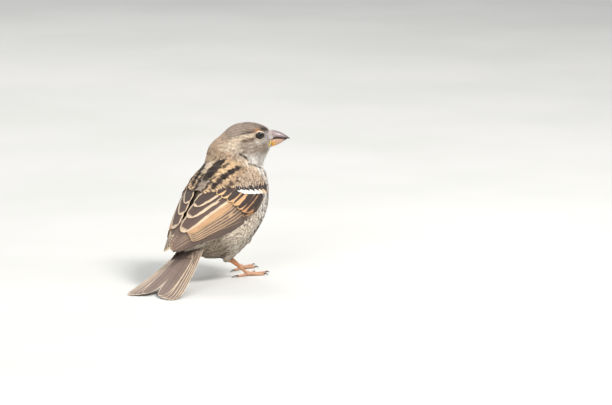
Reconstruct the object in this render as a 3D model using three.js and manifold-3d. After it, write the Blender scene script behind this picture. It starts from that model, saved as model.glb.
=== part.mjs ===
// House sparrow at life size, standing with its trunk raised, its head turned to
// its right and its tail laid back on the floor. Every length is in millimetres.
// The frame: +X is the way the trunk faces, +Y is the bird's left, +Z is up. The
// origin is on the floor, under the middle of the box round the whole bird.
import * as THREE from "three";
import { mergeVertices } from "three/addons/utils/BufferGeometryUtils.js";
import Module from "manifold-3d";

const wasm = await Module();
wasm.setup();

// Driving dimensions of the stance.
const TRUNK_PITCH = 38; // degrees the trunk axis rises towards the neck
const TRUNK_HEIGHT = 43; // middle of the trunk above the floor
const HEAD_TURN = 50; // degrees the head is turned to the right
const HEAD_TILT = 2; // degrees the bill points up
const HEAD_AT = [18.3, -3.4, 80.9];
const TAIL_TURN = 10; // degrees the tail swings to the right
const GAP = 0.3; // cut between neighbouring pieces

// Ellipsoids the plumage flows over: place along, above and beside the axis of
// their frame, then the three half-lengths the same way round.
const TRUNK_MASSES = {
  chest: [9.9, -6.7, 14.1, 13.7, 16.6],
  belly: [-5.2, -10.6, 19.2, 12.9, 17.1],
  back: [1.5, 8.8, 19.7, 10.9, 16.9],
  rump: [-26.1, 3.5, 13.3, 6.2, 8.6],
  core: [-1.7, -3.2, 19.4, 13.5, 16.1],
  vent: [-17.6, -6.9, 10.5, 7.6, 9.7],
};
const NECK_MASSES = {
  neck: [19.4, 4.4, 10.1, 14.3, 9.2],
  throat: [24, -5.1, 8.7, 5.8, 9.5],
};
const HEAD_MASSES = {
  cranium: [-1.1, -0.3, 12.5, 9.5, 9.9],
  cheeks: [1.8, -5, 10.2, 9.4, 9.5],
  forehead: [5.9, 0.1, 6.3, 6, 6],
  lores: [9.7, -0.2, 5.7, 4.8, 4],
  nape: [-9.9, -9, 13.1, 11, 10.9],
};
const BODY_BLEND = 5; // how softly the masses of the trunk and neck run together
const HEAD_BLEND = 2;
const JOIN_BLEND = 3.5;

// Eyes, in the head's frame.
const EYE = { along: 7.7, above: 2.6, beside: 6.3, radius: 3 };

// Bill stations: along the head, upper edge, lower edge, half-width.
const UPPER_BILL = [
  [10, 3.2, -3.7, 3],
  [12.4, 4, -2.3, 3.9],
  [14.3, 4.3, -0.7, 3.9],
  [17.1, 3.9, 0, 3.3],
  [20.5, 2.6, -0.3, 2.3],
  [23.5, 0.8, -0.8, 1.2],
  [25.4, -0.7, -1.1, 0.35],
];
const LOWER_BILL = [
  [10, -3.8, -5.6, 2.8],
  [12.4, -2.4, -5.8, 3.6],
  [14.3, -0.8, -5.6, 3.6],
  [17.1, -0.1, -4.8, 3],
  [20.2, -0.4, -3.5, 2],
  [22.4, -0.7, -2.1, 1.1],
  [23.8, -0.95, -1.4, 0.35],
];

// The folded wings lie on a tube round the back. Stations along the trunk:
// top of the tube, its middle line, its half-width.
const WING_TUBE = [
  [-52, 13.8, 10.4, 5.4],
  [-40, 16.8, 7.8, 10.4],
  [-30, 19, 5.6, 15],
  [-20, 20.8, 3.3, 19],
  [-10, 22.3, 1.1, 22],
  [0, 23.1, 0, 23.3],
  [10, 22.4, -0.5, 22.7],
  [17, 20.8, -1, 21],
  [24, 18.4, -1.5, 17.8],
];
// Edges of the wing's three layers: front and rear along the trunk, from the
// edge next to the back (0) to the edge along the flank (1).
const COVERTS_FRONT = [[0, 15.5], [0.4, 19], [0.8, 19.8], [1, 15]];
const COVERTS_REAR = [[0, -7], [0.5, -8], [1, -4]];
const TERTIALS_FRONT = [[0, -6.5], [1, -6.5]];
const TERTIALS_REAR = [[0, -28], [0.3, -38], [0.6, -37], [1, -32]];
const PRIMARIES_FRONT = [[0, -4], [1, -4]];
const PRIMARIES_REAR = [[0, -46], [0.4, -52], [1, -49]];
// Angles round the tube from the top of the back, at places along the trunk.
const COVERTS_TOP = [[-8, 31], [5, 42], [17, 60]];
const FLANK_EDGE = [[-52, 90], [-41, 97], [-31, 106], [-21, 107], [-10, 101], [3, 100], [19, 95]];
const TERTIALS_TOP = [[-38, 12], [-25, 7], [-8, 16]];
const TERTIALS_FLANK = [[-38, 33], [-30, 62], [-20, 80], [-4, 86]];
const PRIMARIES_TOP = [[-52, 12], [-46, 10], [-38, 38], [-30, 66], [-20, 83], [-4, 89]];
const WING_FACES = [-0.7, 0.5]; // lower and upper face of a layer, from the tube
const UNDER_WINGS = 0.8; // how far the back lies below the plumage round it

// Legs: knee, ankle and foot joint; the left foot is a step ahead of the right.
const LEGS = {
  right: { knee: [3.5, -9, 24], ankle: [-3, -6.5, 12.2], foot: [11.8, -9.8, 1.4], turn: -12 },
  left: { knee: [14, 8.5, 25], ankle: [8.5, 5, 12.6], foot: [24, 6.5, 1.4], turn: 8 },
};
const THIGH_RADII = [5.2, 1.9]; // at the knee and at the ankle
const SHANK_RADII = [1.25, 0.85, 0.85, 1.15];
const PAD_RADIUS = 1.6;
// Toes: angle from the foot's own direction towards the outer side, length of
// the toe, length of its claw.
const TOES = {
  middle: [0, 12.6, 3.6],
  inner: [-32, 8.8, 3.2],
  outer: [30, 9.2, 3.1],
  hind: [182, 7, 5],
};
const TOE_RADIUS = 0.88;
const TOE_HEIGHT = 0.72; // axis of a toe above the floor, so each sole is a flat

// Tail: where its quills leave the rump, how far it reaches, its half-widths.
const TAIL = { root: [-20.5, 0, 24.8], reach: 54.5, droop: 1.4, root_half: 5, tip_half: 19 };
const TAIL_NOTCH = [0.4, 1.7]; // inner edge of each half from the middle, root and tip
const TAIL_THICKNESS = [2.4, 1.1];

const rad = THREE.MathUtils.degToRad;
const vec = (p) => new THREE.Vector3(...p);

// A frame at a point: fore and side are unit vectors, up is square to both.
function makeFrame(at, fore, side) {
  return { at, fore, side, up: fore.clone().cross(side).normalize() };
}

// A point given along, above and beside the axis of a frame.
function place(frame, along, above, beside) {
  return frame.at
    .clone()
    .addScaledVector(frame.fore, along)
    .addScaledVector(frame.up, above)
    .addScaledVector(frame.side, beside);
}

const pitch = rad(TRUNK_PITCH);
const trunk = makeFrame(
  new THREE.Vector3(0, 0, TRUNK_HEIGHT),
  new THREE.Vector3(Math.cos(pitch), 0, Math.sin(pitch)),
  new THREE.Vector3(0, 1, 0),
);
const turn = rad(-HEAD_TURN);
const tilt = rad(HEAD_TILT);
const head = makeFrame(
  vec(HEAD_AT),
  new THREE.Vector3(
    Math.cos(turn) * Math.cos(tilt),
    Math.sin(turn) * Math.cos(tilt),
    Math.sin(tilt),
  ),
  new THREE.Vector3(-Math.sin(turn), Math.cos(turn), 0),
);
const neckFoot = place(trunk, 8, 0, 0);
const neckFore = head.at.clone().sub(neckFoot).normalize();
const neckSide = head.side.clone().add(trunk.side).multiplyScalar(0.5);
neckSide.addScaledVector(neckFore, -neckSide.dot(neckFore)).normalize();
const neck = makeFrame(neckFoot, neckFore, neckSide);

// Distance-like value of a point from one ellipsoid: negative inside.
function massValue(point, { at, frame, radii }) {
  const rel = point.clone().sub(at);
  const q = [rel.dot(frame.fore), rel.dot(frame.up), rel.dot(frame.side)];
  const near = Math.hypot(...q.map((v, i) => v / radii[i]));
  const slope = Math.hypot(...q.map((v, i) => v / radii[i] ** 2));
  return (near * (near - 1)) / Math.max(slope, 1e-9);
}

const masses = (table, home, axes) =>
  Object.values(table).map(([along, above, ...radii]) => ({
    at: place(home, along, above, 0),
    frame: axes,
    radii,
  }));
const bodyMasses = [...masses(TRUNK_MASSES, trunk, trunk), ...masses(NECK_MASSES, trunk, neck)];
const headMasses = masses(HEAD_MASSES, head, head);

const blend = (values, softness) =>
  -softness * Math.log(values.reduce((sum, v) => sum + Math.exp(-Math.max(v, -60) / softness), 0));

// The plumage's outer surface is where this value is zero.
function plumage(point) {
  const body = blend(bodyMasses.map((m) => massValue(point, m)), BODY_BLEND);
  const skull = blend(headMasses.map((m) => massValue(point, m)), HEAD_BLEND);
  return blend([body, skull], JOIN_BLEND);
}

// Distance from a point inside the plumage to its surface in one direction.
function reachOf(from, direction) {
  const value = (t) => plumage(from.clone().addScaledVector(direction, t));
  let far = 1;
  while (value(far) < 0) far += 1;
  let near = far - 1;
  for (let i = 0; i < 14; i += 1) {
    const half = (near + far) / 2;
    if (value(half) < 0) near = half;
    else far = half;
  }
  return far;
}

// Value at x in a table of [place, value, ...] rows, eased between its rows.
function station(table, x, column = 1) {
  const rows = table[0][0] < table.at(-1)[0] ? table : [...table].reverse();
  if (x <= rows[0][0]) return rows[0][column];
  if (x >= rows.at(-1)[0]) return rows.at(-1)[column];
  const i = rows.findIndex((row) => row[0] > x) - 1;
  const slopeAt = (k) => {
    const a = rows[Math.max(k - 1, 0)];
    const b = rows[Math.min(k + 1, rows.length - 1)];
    return (b[column] - a[column]) / (b[0] - a[0]);
  };
  const [x0, x1] = [rows[i][0], rows[i + 1][0]];
  const width = x1 - x0;
  const t = (x - x0) / width;
  const [t2, t3] = [t * t, t * t * t];
  return (
    (2 * t3 - 3 * t2 + 1) * rows[i][column] +
    (t3 - 2 * t2 + t) * width * slopeAt(i) +
    (3 * t2 - 2 * t3) * rows[i + 1][column] +
    (t3 - t2) * width * slopeAt(i + 1)
  );
}

// Moves every vertex of a geometry by a function of its position.
function warp(geometry, move) {
  const at = geometry.getAttribute("position");
  const from = new THREE.Vector3();
  for (let i = 0; i < at.count; i += 1) {
    from.fromBufferAttribute(at, i);
    const to = move(from);
    at.setXYZ(i, to.x, to.y, to.z);
  }
  return geometry;
}

// A closed geometry as a solid that can be joined and cut.
function solid(geometry) {
  const bare = new THREE.BufferGeometry();
  bare.setAttribute("position", geometry.getAttribute("position"));
  bare.setIndex(geometry.index);
  const merged = mergeVertices(bare, 1e-4);
  const build = (triVerts) =>
    new wasm.Manifold(
      new wasm.Mesh({
        numProp: 3,
        vertProperties: merged.getAttribute("position").array,
        triVerts,
      }),
    );
  const faces = new Uint32Array(merged.index.array);
  const made = build(faces);
  if (made.volume() > 0) return made;
  for (let i = 0; i < faces.length; i += 3) {
    [faces[i + 1], faces[i + 2]] = [faces[i + 2], faces[i + 1]];
  }
  return build(faces);
}

const join = (parts) => wasm.Manifold.union(parts);
const carve = (body, cutters) => cutters.reduce((left, cutter) => left.subtract(cutter), body);
const aboveFloor = (body) => body.trimByPlane([0, 0, 1], 0);

// Keeps the side of a plane through a point that its normal points to.
const keep = (body, point, normal) => body.trimByPlane(normal.toArray(), point.dot(normal));

// A piece of the plumage seen from a centre inside it: a sphere whose vertices
// are pushed out to the surface, its poles along the given frame's axis.
// Above the axis it stops short of the surface by the given depth.
function flesh(frame, centre, around, along, depth = 0) {
  const globe = new THREE.SphereGeometry(1, around, along);
  return solid(
    warp(globe, (v) => {
      const direction = new THREE.Vector3()
        .addScaledVector(frame.up, v.x)
        .addScaledVector(frame.fore, v.y)
        .addScaledVector(frame.side, -v.z)
        .normalize();
      const short = depth * THREE.MathUtils.smoothstep(v.x, -0.4, 0);
      return centre.clone().addScaledVector(direction, reachOf(centre, direction) - short);
    }),
  );
}

function ball(centre, radius, around = 14, along = 9) {
  return solid(
    warp(new THREE.SphereGeometry(radius, around, along), (v) => centre.clone().add(v)),
  );
}

// A round limb along a curve; radiusAt takes the fraction along it.
function limb(curve, radiusAt, around, rings) {
  const rod = new THREE.CylinderGeometry(1, 1, 1, around, rings);
  const upright = new THREE.Vector3(0, 0, 1);
  return solid(
    warp(rod, (v) => {
      const t = v.y + 0.5;
      const axis = curve.getTangent(t);
      const across = axis.clone().cross(upright).normalize();
      const other = across.clone().cross(axis);
      return curve
        .getPoint(t)
        .addScaledVector(across, v.x * radiusAt(t))
        .addScaledVector(other, v.z * radiusAt(t));
    }),
  );
}

// A slab over a two-way grid: at(u, v, h) with u and v from 0 to 1 and h from
// the lower to the upper face. grow widens it on every side for a cutter.
function slab(at, faces, [nu, nv], grow = 0) {
  const sheet = new THREE.BoxGeometry(1, 1, 1, nu, nv, 1);
  const [low, high] = faces;
  const wider = (t, room) => t * (1 + 2 * room) - room;
  return solid(
    warp(sheet, (v) =>
      at(
        wider(v.x + 0.5, grow / 18),
        wider(v.y + 0.5, grow / 9),
        v.z < 0 ? low - grow : high + grow,
      ),
    ),
  );
}

// A point on the wings' tube: place along the trunk, degrees from the top of
// the back, height above the tube; side is -1 for the right wing.
function wingPoint(side, along, degrees, height) {
  const middle = station(WING_TUBE, along, 2);
  const tall = station(WING_TUBE, along, 1) - middle + height;
  const wide = station(WING_TUBE, along, 3) + height;
  const angle = rad(degrees);
  return place(trunk, along, middle + tall * Math.cos(angle), side * wide * Math.sin(angle));
}

// One layer of a folded wing between its front, rear, top and flank edges.
function wingLayer(side, [front, rear, top, flank], faces, grid, grow) {
  const mix = THREE.MathUtils.lerp;
  const onWing = (u, v, height) => {
    const along = mix(station(front, v), station(rear, v), u);
    return wingPoint(side, along, mix(station(top, along), station(flank, along), v), height);
  };
  return slab(onWing, faces, grid, grow);
}

const LAYER_EDGES = {
  coverts: [COVERTS_FRONT, COVERTS_REAR, COVERTS_TOP, FLANK_EDGE],
  tertials: [TERTIALS_FRONT, TERTIALS_REAR, TERTIALS_TOP, TERTIALS_FLANK],
  primaries: [PRIMARIES_FRONT, PRIMARIES_REAR, PRIMARIES_TOP, FLANK_EDGE],
};
const LAYER_GRIDS = { coverts: [7, 6], tertials: [7, 5], primaries: [9, 3] };

// The layers of one wing, each cut back where the one before it lies.
function wing(side) {
  const made = {};
  const before = [];
  for (const [name, edges] of Object.entries(LAYER_EDGES)) {
    const grid = LAYER_GRIDS[name];
    made[name] = carve(wingLayer(side, edges, WING_FACES, grid, 0), before);
    before.push(wingLayer(side, edges, [-3, 3], grid, GAP));
  }
  return made;
}

// One mandible: a rod along the head whose round side is moved to the outer
// edge and whose other side lies flat along the cut between the mandibles.
function mandible(stations, isUpper, grow = 0) {
  const [first, last] = [stations[0][0], stations.at(-1)[0]];
  const rod = new THREE.CylinderGeometry(1, 1, 1, 12, 7);
  return solid(
    warp(rod, (v) => {
      const along = THREE.MathUtils.lerp(first - grow, last + grow, v.y + 0.5);
      const edge = (column) => station(stations, along, column);
      const [outer, inner] = isUpper ? [edge(1), edge(2)] : [edge(2), edge(1)];
      const sign = isUpper ? 1 : -1;
      const rise = sign * v.z > 0 ? v.z : 0;
      const full = Math.abs(outer - inner);
      const above = inner - (sign * (rise === 0 ? grow : 0)) + rise * (full + grow);
      return place(head, along, above, v.x * (edge(3) + grow));
    }),
  );
}

// Where the tail's sheet lies: distance from its root and offset to its side.
const tailAxis = new THREE.Vector3(-Math.cos(rad(TAIL_TURN)), -Math.sin(rad(TAIL_TURN)), 0);
const tailLeft = new THREE.Vector3(-tailAxis.y, tailAxis.x, 0).negate();

function tailPoint(side, u, v, height) {
  const thick = THREE.MathUtils.lerp(...TAIL_THICKNESS, u);
  const rounding = 1 - 0.07 * v * v - 0.05 * (1 - v) ** 2;
  const out = u * TAIL.reach * rounding;
  const fall = (1 - Math.min(u, 1)) ** TAIL.droop;
  const wide = THREE.MathUtils.lerp(TAIL.root_half, TAIL.tip_half, Math.max(u, 0) ** 1.15);
  const inner = THREE.MathUtils.lerp(...TAIL_NOTCH, u * u);
  const offset = THREE.MathUtils.lerp(inner, wide, v);
  const arch = 0.9 * fall * (1 - (offset / wide) ** 2);
  const lift = TAIL.root[2] * fall + arch + (height * thick) / 2 + thick / 2 - 0.1;
  return vec(TAIL.root)
    .setZ(lift)
    .addScaledVector(tailAxis, out)
    .addScaledVector(tailLeft, side * offset);
}

function tailHalf(side, grow = 0) {
  const faces = [-1, 1];
  return slab((u, v, h) => tailPoint(side, u, v, h), faces, [9, 4], grow);
}

// A leg: feathered thigh, bare shank with the pad of the foot, toes and claws.
function leg({ knee, ankle, foot, turn: footTurn }, side) {
  const [kneeAt, ankleAt, footAt] = [vec(knee), vec(ankle), vec(foot)];
  const thighLine = new THREE.LineCurve3(kneeAt, ankleAt);
  const thighRadius = (t) => {
    const taper = THREE.MathUtils.lerp(...THIGH_RADII, t ** 0.8);
    return taper * Math.sqrt(Math.max(1 - (2 * t - 1) ** 6, 0.04));
  };
  const thigh = (grow) => limb(thighLine, (t) => thighRadius(t) + grow, 10, 6);
  const shankRows = SHANK_RADII.map((radius, i) => [i / (SHANK_RADII.length - 1), radius]);
  const shankLine = new THREE.LineCurve3(ankleAt, footAt);
  const shank = (grow) =>
    join([
      limb(shankLine, (t) => station(shankRows, t) + grow, 8, 3),
      ball(ankleAt, SHANK_RADII[0] + 0.15 + grow, 8, 6),
      ball(footAt, PAD_RADIUS + grow, 8, 6),
    ]);
  const pieces = {
    thigh: carve(thigh(0), [shank(GAP)]),
    tarsus: aboveFloor(shank(0)),
  };
  let middleToe;
  for (const [name, [spread, length, clawLength]] of Object.entries(TOES)) {
    const heading = rad(footTurn + side * spread);
    const ahead = new THREE.Vector3(Math.cos(heading), Math.sin(heading), 0);
    const floorAt = footAt.clone().setZ(TOE_HEIGHT);
    const along = (distance, height) => floorAt.clone().addScaledVector(ahead, distance).setZ(height);
    const toeLine = new THREE.CatmullRomCurve3([
      along(0.4, 1.3),
      along(length * 0.35, TOE_HEIGHT + 0.25),
      along(length * 0.7, TOE_HEIGHT),
      along(length, TOE_HEIGHT),
    ]);
    const knuckles = (t) => TOE_RADIUS * (1 - 0.22 * t) * (1 + 0.07 * Math.cos(t * 6 * Math.PI));
    const toe = limb(toeLine, knuckles, 8, 5);
    const neighbours = name === "inner" || name === "outer" ? [middleToe] : [];
    const clawLine = new THREE.CatmullRomCurve3([
      along(length + GAP, TOE_HEIGHT + 0.05),
      along(length + clawLength * 0.5, TOE_HEIGHT + 0.35),
      along(length + clawLength, 0.3),
    ]);
    const sharpen = (t) => 0.52 * (1 - t) ** 0.8 + 0.1;
    pieces[`toe_${name}`] = aboveFloor(carve(toe, [shank(GAP), ...neighbours]));
    if (name === "middle") middleToe = limb(toeLine, (t) => knuckles(t) + GAP, 8, 5);
    pieces[`claw_${name}`] = limb(clawLine, sharpen, 6, 3);
  }
  return { pieces, thighCutter: thigh(GAP), shankCutter: shank(GAP) };
}

const wings = { left: wing(1), right: wing(-1) };
const legs = { left: leg(LEGS.left, 1), right: leg(LEGS.right, -1) };
const legCutters = Object.values(legs).flatMap((l) => [l.thighCutter, l.shankCutter]);
const tail = { left: tailHalf(1), right: tailHalf(-1) };
const tailCutters = [tailHalf(1, GAP), tailHalf(-1, GAP)];

// The plumage in four pieces, cut square to the neck and to the trunk.
const headCut = place(neck, head.at.distanceTo(neck.at) - 9.5, 0, 0);
const neckCut = place(neck, head.at.distanceTo(neck.at) - 17, 0, 0);
const rumpCut = place(trunk, -24, 0, 0);
const half = GAP / 2;
const beyond = (point, frame, distance) => point.clone().addScaledVector(frame.fore, distance);
const backwards = (frame) => frame.fore.clone().negate();

const eyeAt = (side) => place(head, EYE.along, EYE.above, side * EYE.beside);
const billCutters = [mandible(UPPER_BILL, true, GAP), mandible(LOWER_BILL, false, GAP)];
const eyeCutters = [1, -1].map((side) => ball(eyeAt(side), EYE.radius + GAP));
const headSolid = carve(
  keep(flesh(head, head.at, 28, 20), beyond(headCut, neck, half), neck.fore),
  [...billCutters, ...eyeCutters],
);
const neckMiddle = headCut.clone().lerp(neckCut, 0.5);
const neckSolid = keep(
  keep(flesh(neck, neckMiddle, 28, 18), beyond(neckCut, neck, half), neck.fore),
  beyond(headCut, neck, -half),
  backwards(neck),
);
const trunkSolid = carve(
  keep(
    keep(flesh(trunk, trunk.at, 30, 24, UNDER_WINGS), beyond(neckCut, neck, -half), backwards(neck)),
    beyond(rumpCut, trunk, half),
    trunk.fore,
  ),
  legCutters,
);
const rumpSolid = carve(
  keep(
    flesh(trunk, place(trunk, -26, 1.5, 0), 20, 14),
    beyond(rumpCut, trunk, -half),
    backwards(trunk),
  ),
  tailCutters,
);

// Colour, roughness and metalness of each kind of surface.
const FINISHES = {
  crown: [0x8f8372, 0.9],
  neck: [0x9c8c76, 0.9],
  underparts: [0xb9ad9a, 0.95],
  rump: [0x93836d, 0.92],
  coverts: [0x8d6a45, 0.85],
  tertials: [0x5e4a38, 0.8],
  primaries: [0x6f5f50, 0.75],
  tail: [0x75675a, 0.78],
  thigh: [0xb3a690, 0.95],
  shank: [0xc98f6f, 0.5],
  claw: [0x4d3b31, 0.35],
  eye: [0x120c09, 0.06],
  upperBill: [0x8c7a74, 0.35],
  lowerBill: [0xd3a583, 0.35],
};

const bird = new THREE.Group();
bird.name = "house_sparrow";

function addNode(name, body, finish) {
  const mesh = body.getMesh();
  const geometry = new THREE.BufferGeometry();
  geometry.setAttribute("position", new THREE.BufferAttribute(mesh.vertProperties, 3));
  geometry.setIndex(new THREE.BufferAttribute(mesh.triVerts, 1));
  const [color, roughness] = FINISHES[finish];
  const material = new THREE.MeshStandardMaterial({ color, roughness, metalness: 0 });
  const node = new THREE.Mesh(geometry, material);
  node.name = name;
  bird.add(node);
}

addNode("head", headSolid, "crown");
addNode("neck", neckSolid, "neck");
addNode("trunk", trunkSolid, "underparts");
addNode("rump", rumpSolid, "rump");
addNode("bill_upper", mandible(UPPER_BILL, true), "upperBill");
addNode("bill_lower", mandible(LOWER_BILL, false), "lowerBill");
for (const [name, side] of [["left", 1], ["right", -1]]) {
  addNode(`eye_${name}`, ball(eyeAt(side), EYE.radius), "eye");
  for (const layer of Object.keys(LAYER_EDGES)) {
    addNode(`wing_${name}_${layer}`, wings[name][layer], layer);
  }
  addNode(`tail_${name}`, aboveFloor(tail[name]), "tail");
  for (const [piece, body] of Object.entries(legs[name].pieces)) {
    const finish = piece.startsWith("claw") ? "claw" : piece === "thigh" ? "thigh" : "shank";
    addNode(`${piece}_${name}`, body, finish);
  }
}

// Moves the finished bird so its frame starts under the middle of its box.
const box = new THREE.Box3().setFromObject(bird);
const middle = box.getCenter(new THREE.Vector3());
for (const node of bird.children) {
  node.geometry.translate(-middle.x, -middle.y, -box.min.z);
}

export default bird;
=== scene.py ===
# House sparrow at life size, standing at rest with its head turned to its right.
# Lengths are in millimetres until a piece is set down in the model's frame.

import math

import bmesh
import bpy
import numpy as np
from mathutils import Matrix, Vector
from mathutils.kdtree import KDTree


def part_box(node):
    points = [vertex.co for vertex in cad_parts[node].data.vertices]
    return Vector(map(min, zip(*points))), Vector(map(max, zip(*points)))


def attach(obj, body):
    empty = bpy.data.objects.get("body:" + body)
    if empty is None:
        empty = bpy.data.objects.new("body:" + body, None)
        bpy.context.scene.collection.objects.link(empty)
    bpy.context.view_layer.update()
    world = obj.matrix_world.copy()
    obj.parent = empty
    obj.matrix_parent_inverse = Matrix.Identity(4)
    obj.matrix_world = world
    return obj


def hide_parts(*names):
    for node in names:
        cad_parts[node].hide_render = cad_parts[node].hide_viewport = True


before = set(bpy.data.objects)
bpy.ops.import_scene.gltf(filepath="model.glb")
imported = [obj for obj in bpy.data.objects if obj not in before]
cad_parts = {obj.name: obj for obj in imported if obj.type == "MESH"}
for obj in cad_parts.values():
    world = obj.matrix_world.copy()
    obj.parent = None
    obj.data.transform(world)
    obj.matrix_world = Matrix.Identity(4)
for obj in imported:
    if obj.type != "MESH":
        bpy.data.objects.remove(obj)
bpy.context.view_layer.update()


# --- Stance ------------------------------------------------------------------
# The trunk is raised, the neck leans over the feet and the head is turned to the
# right and nearly level. Each has directions of its own, and the eye in the
# model's frame says where they are set down.

MM = 0.001
TRUNK_PITCH = math.radians(38)
TRUNK_HEIGHT = 43.0
HEAD_TURN = math.radians(-50)
HEAD_TILT = math.radians(2)
HEAD_AT = (18.3, -3.4, 80.9)
EYE_ALONG, EYE_ABOVE, EYE_BESIDE, EYE_RADIUS = 7.7, 2.6, 6.3, 3.0


def unit(v):
    """v at length one, row by row."""
    v = np.asarray(v, float)
    return v / np.maximum(np.linalg.norm(v, axis=-1, keepdims=True), 1e-9)


class Axes:
    """A place on the bird with the directions along, above and beside it."""

    def __init__(self, at, fore, side):
        self.at = np.array(at, float)
        self.rows = np.array([fore, np.cross(fore, side), side])

    def place(self, along, above, beside):
        return self.at + np.stack(np.broadcast_arrays(along, above, beside), -1) @ self.rows

    def read(self, points):
        return (points - self.at) @ self.rows.T


trunk = Axes(
    (0, 0, TRUNK_HEIGHT), (math.cos(TRUNK_PITCH), 0, math.sin(TRUNK_PITCH)), (0, 1, 0)
)
head = Axes(
    HEAD_AT,
    (
        math.cos(HEAD_TURN) * math.cos(HEAD_TILT),
        math.sin(HEAD_TURN) * math.cos(HEAD_TILT),
        math.sin(HEAD_TILT),
    ),
    (-math.sin(HEAD_TURN), math.cos(HEAD_TURN), 0),
)
neck_foot = trunk.place(8, 0, 0)
neck_fore = unit(head.at - neck_foot)
neck_side = (head.rows[2] + trunk.rows[2]) / 2
neck = Axes(neck_foot, neck_fore, unit(neck_side - (neck_side @ neck_fore) * neck_fore))

eye_low, eye_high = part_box("eye_right")
eye_middle = np.array((eye_low + eye_high) / 2) / MM
set_down = eye_middle - head.place(EYE_ALONG, EYE_ABOVE, -EYE_BESIDE)


def eased(rows, x, column=1):
    """Value at x in rows of (place, value, ...), eased between the rows."""
    table = np.array(sorted(rows), float)
    places, values = table[:, 0], table[:, column]
    last = len(places) - 1
    ahead = np.minimum(np.arange(last + 1) + 1, last)
    behind = np.maximum(np.arange(last + 1) - 1, 0)
    slopes = (values[ahead] - values[behind]) / (places[ahead] - places[behind])
    x = np.clip(x, places[0], places[-1])
    i = np.clip(np.searchsorted(places, x, side="right") - 1, 0, last - 1)
    width = places[i + 1] - places[i]
    t = (x - places[i]) / width
    return (
        (2 * t**3 - 3 * t**2 + 1) * values[i]
        + (t**3 - 2 * t**2 + t) * width * slopes[i]
        + (3 * t**2 - 2 * t**3) * values[i + 1]
        + (t**3 - t**2) * width * slopes[i + 1]
    )


def step(x, low, high):
    """0 below low, 1 above high and smooth between them."""
    t = np.clip((np.asarray(x, float) - low) / (high - low), 0, 1)
    return t * t * (3 - 2 * t)


def band(x, middle, half):
    """1 at the middle, fading to 0 over a soft band."""
    return np.exp(-(((np.asarray(x, float) - middle) / half) ** 2))


# --- Finishes ----------------------------------------------------------------
# How feathers, horn and scales are coloured: every finish starts from a shader
# with fixed values, and its colour and fine relief are mixed from the piece's own
# values and soft random spots.


def tint(red, green, blue):
    """A colour given by its 0 to 255 screen values, as light."""
    c = np.array([red, green, blue], float) / 255
    return np.where(c <= 0.04045, c / 12.92, ((c + 0.055) / 1.055) ** 2.4)


class Wet:
    """A socket of a finish that is being mixed."""

    def __init__(self, tree, socket=None):
        self.tree, self.socket = tree, socket

    def node(self, kind, settings=(), sockets=(), out=0):
        made = self.tree.nodes.new(kind)
        for name, value in dict(settings).items():
            if name == "stops":
                ramp = made.color_ramp.elements
                while len(ramp) < len(value):
                    ramp.new(0.5)
                for element, (place, colour) in zip(ramp, value):
                    element.position = place
                    element.color = (*colour, 1)
            else:
                setattr(made, name, value)
        for key, value in dict(sockets).items():
            if isinstance(value, Wet):
                self.tree.links.new(value.socket, made.inputs[key])
            else:
                made.inputs[key].default_value = value
        return Wet(self.tree, made.outputs[out])

    def sum(self, operation, *values):
        pairs = dict(enumerate(values))
        return self.node("ShaderNodeMath", {"operation": operation}, pairs)

    def __add__(self, other):
        return self.sum("ADD", self, other)

    def __sub__(self, other):
        return self.sum("SUBTRACT", self, other)

    def __mul__(self, other):
        return self.sum("MULTIPLY", self, other)

    def __abs__(self):
        return self.sum("ABSOLUTE", self)

    def most(self, other):
        return self.sum("MAXIMUM", self, other)

    def ramp(self, low, high, start=0.0, end=1.0):
        """start where this is low, end where it is high, smooth between."""
        sockets = {0: self, 1: low, 2: high, 3: start, 4: end}
        return self.node("ShaderNodeMapRange", {"interpolation_type": "SMOOTHSTEP"}, sockets)

    def blend(self, a, b):
        """Colour a where this is 0 and b where it is 1."""
        a, b = (c if isinstance(c, Wet) else (*c, 1) for c in (a, b))
        return self.node("ShaderNodeMix", {"data_type": "RGBA"}, {0: self, 6: a, 7: b}, 2)

    def read(self, name, out="Vector"):
        return self.node("ShaderNodeAttribute", {"attribute_name": name}, (), out)

    def parts(self):
        split = self.node("ShaderNodeSeparateXYZ", (), {0: self})
        outs = split.socket.node.outputs
        return [Wet(self.tree, outs[i]) for i in range(3)]

    def speckle(self, scale, detail=2.0):
        """Soft random value round 0.5, with scale spots to the metre."""
        where = self.node("ShaderNodeTexCoord", (), (), "Object")
        sockets = {"Vector": where, "Scale": scale, "Detail": detail}
        return self.node("ShaderNodeTexNoise", (), sockets)

    def bump(self, strength, distance):
        """Fine relief with this as its height, distance in metres."""
        sockets = {"Strength": strength, "Distance": distance, "Height": self}
        return self.node("ShaderNodeBump", (), sockets)


def finish(name, **fixed):
    """A new material with its fixed socket values; returns it with its tree."""
    material = bpy.data.materials.new(name)
    material.use_nodes = True
    shader = material.node_tree.nodes["Principled BSDF"]
    for key, value in fixed.items():
        shader.inputs[key.replace("_", " ").title().replace("Ior", "IOR")].default_value = value
    return material, Wet(material.node_tree), shader


def coat_on(shader, **links):
    """Feeds varying values to a finish's shader."""
    for key, wet in links.items():
        target = shader.inputs[key.replace("_", " ").title()]
        wet.tree.links.new(wet.socket, target)


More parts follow.
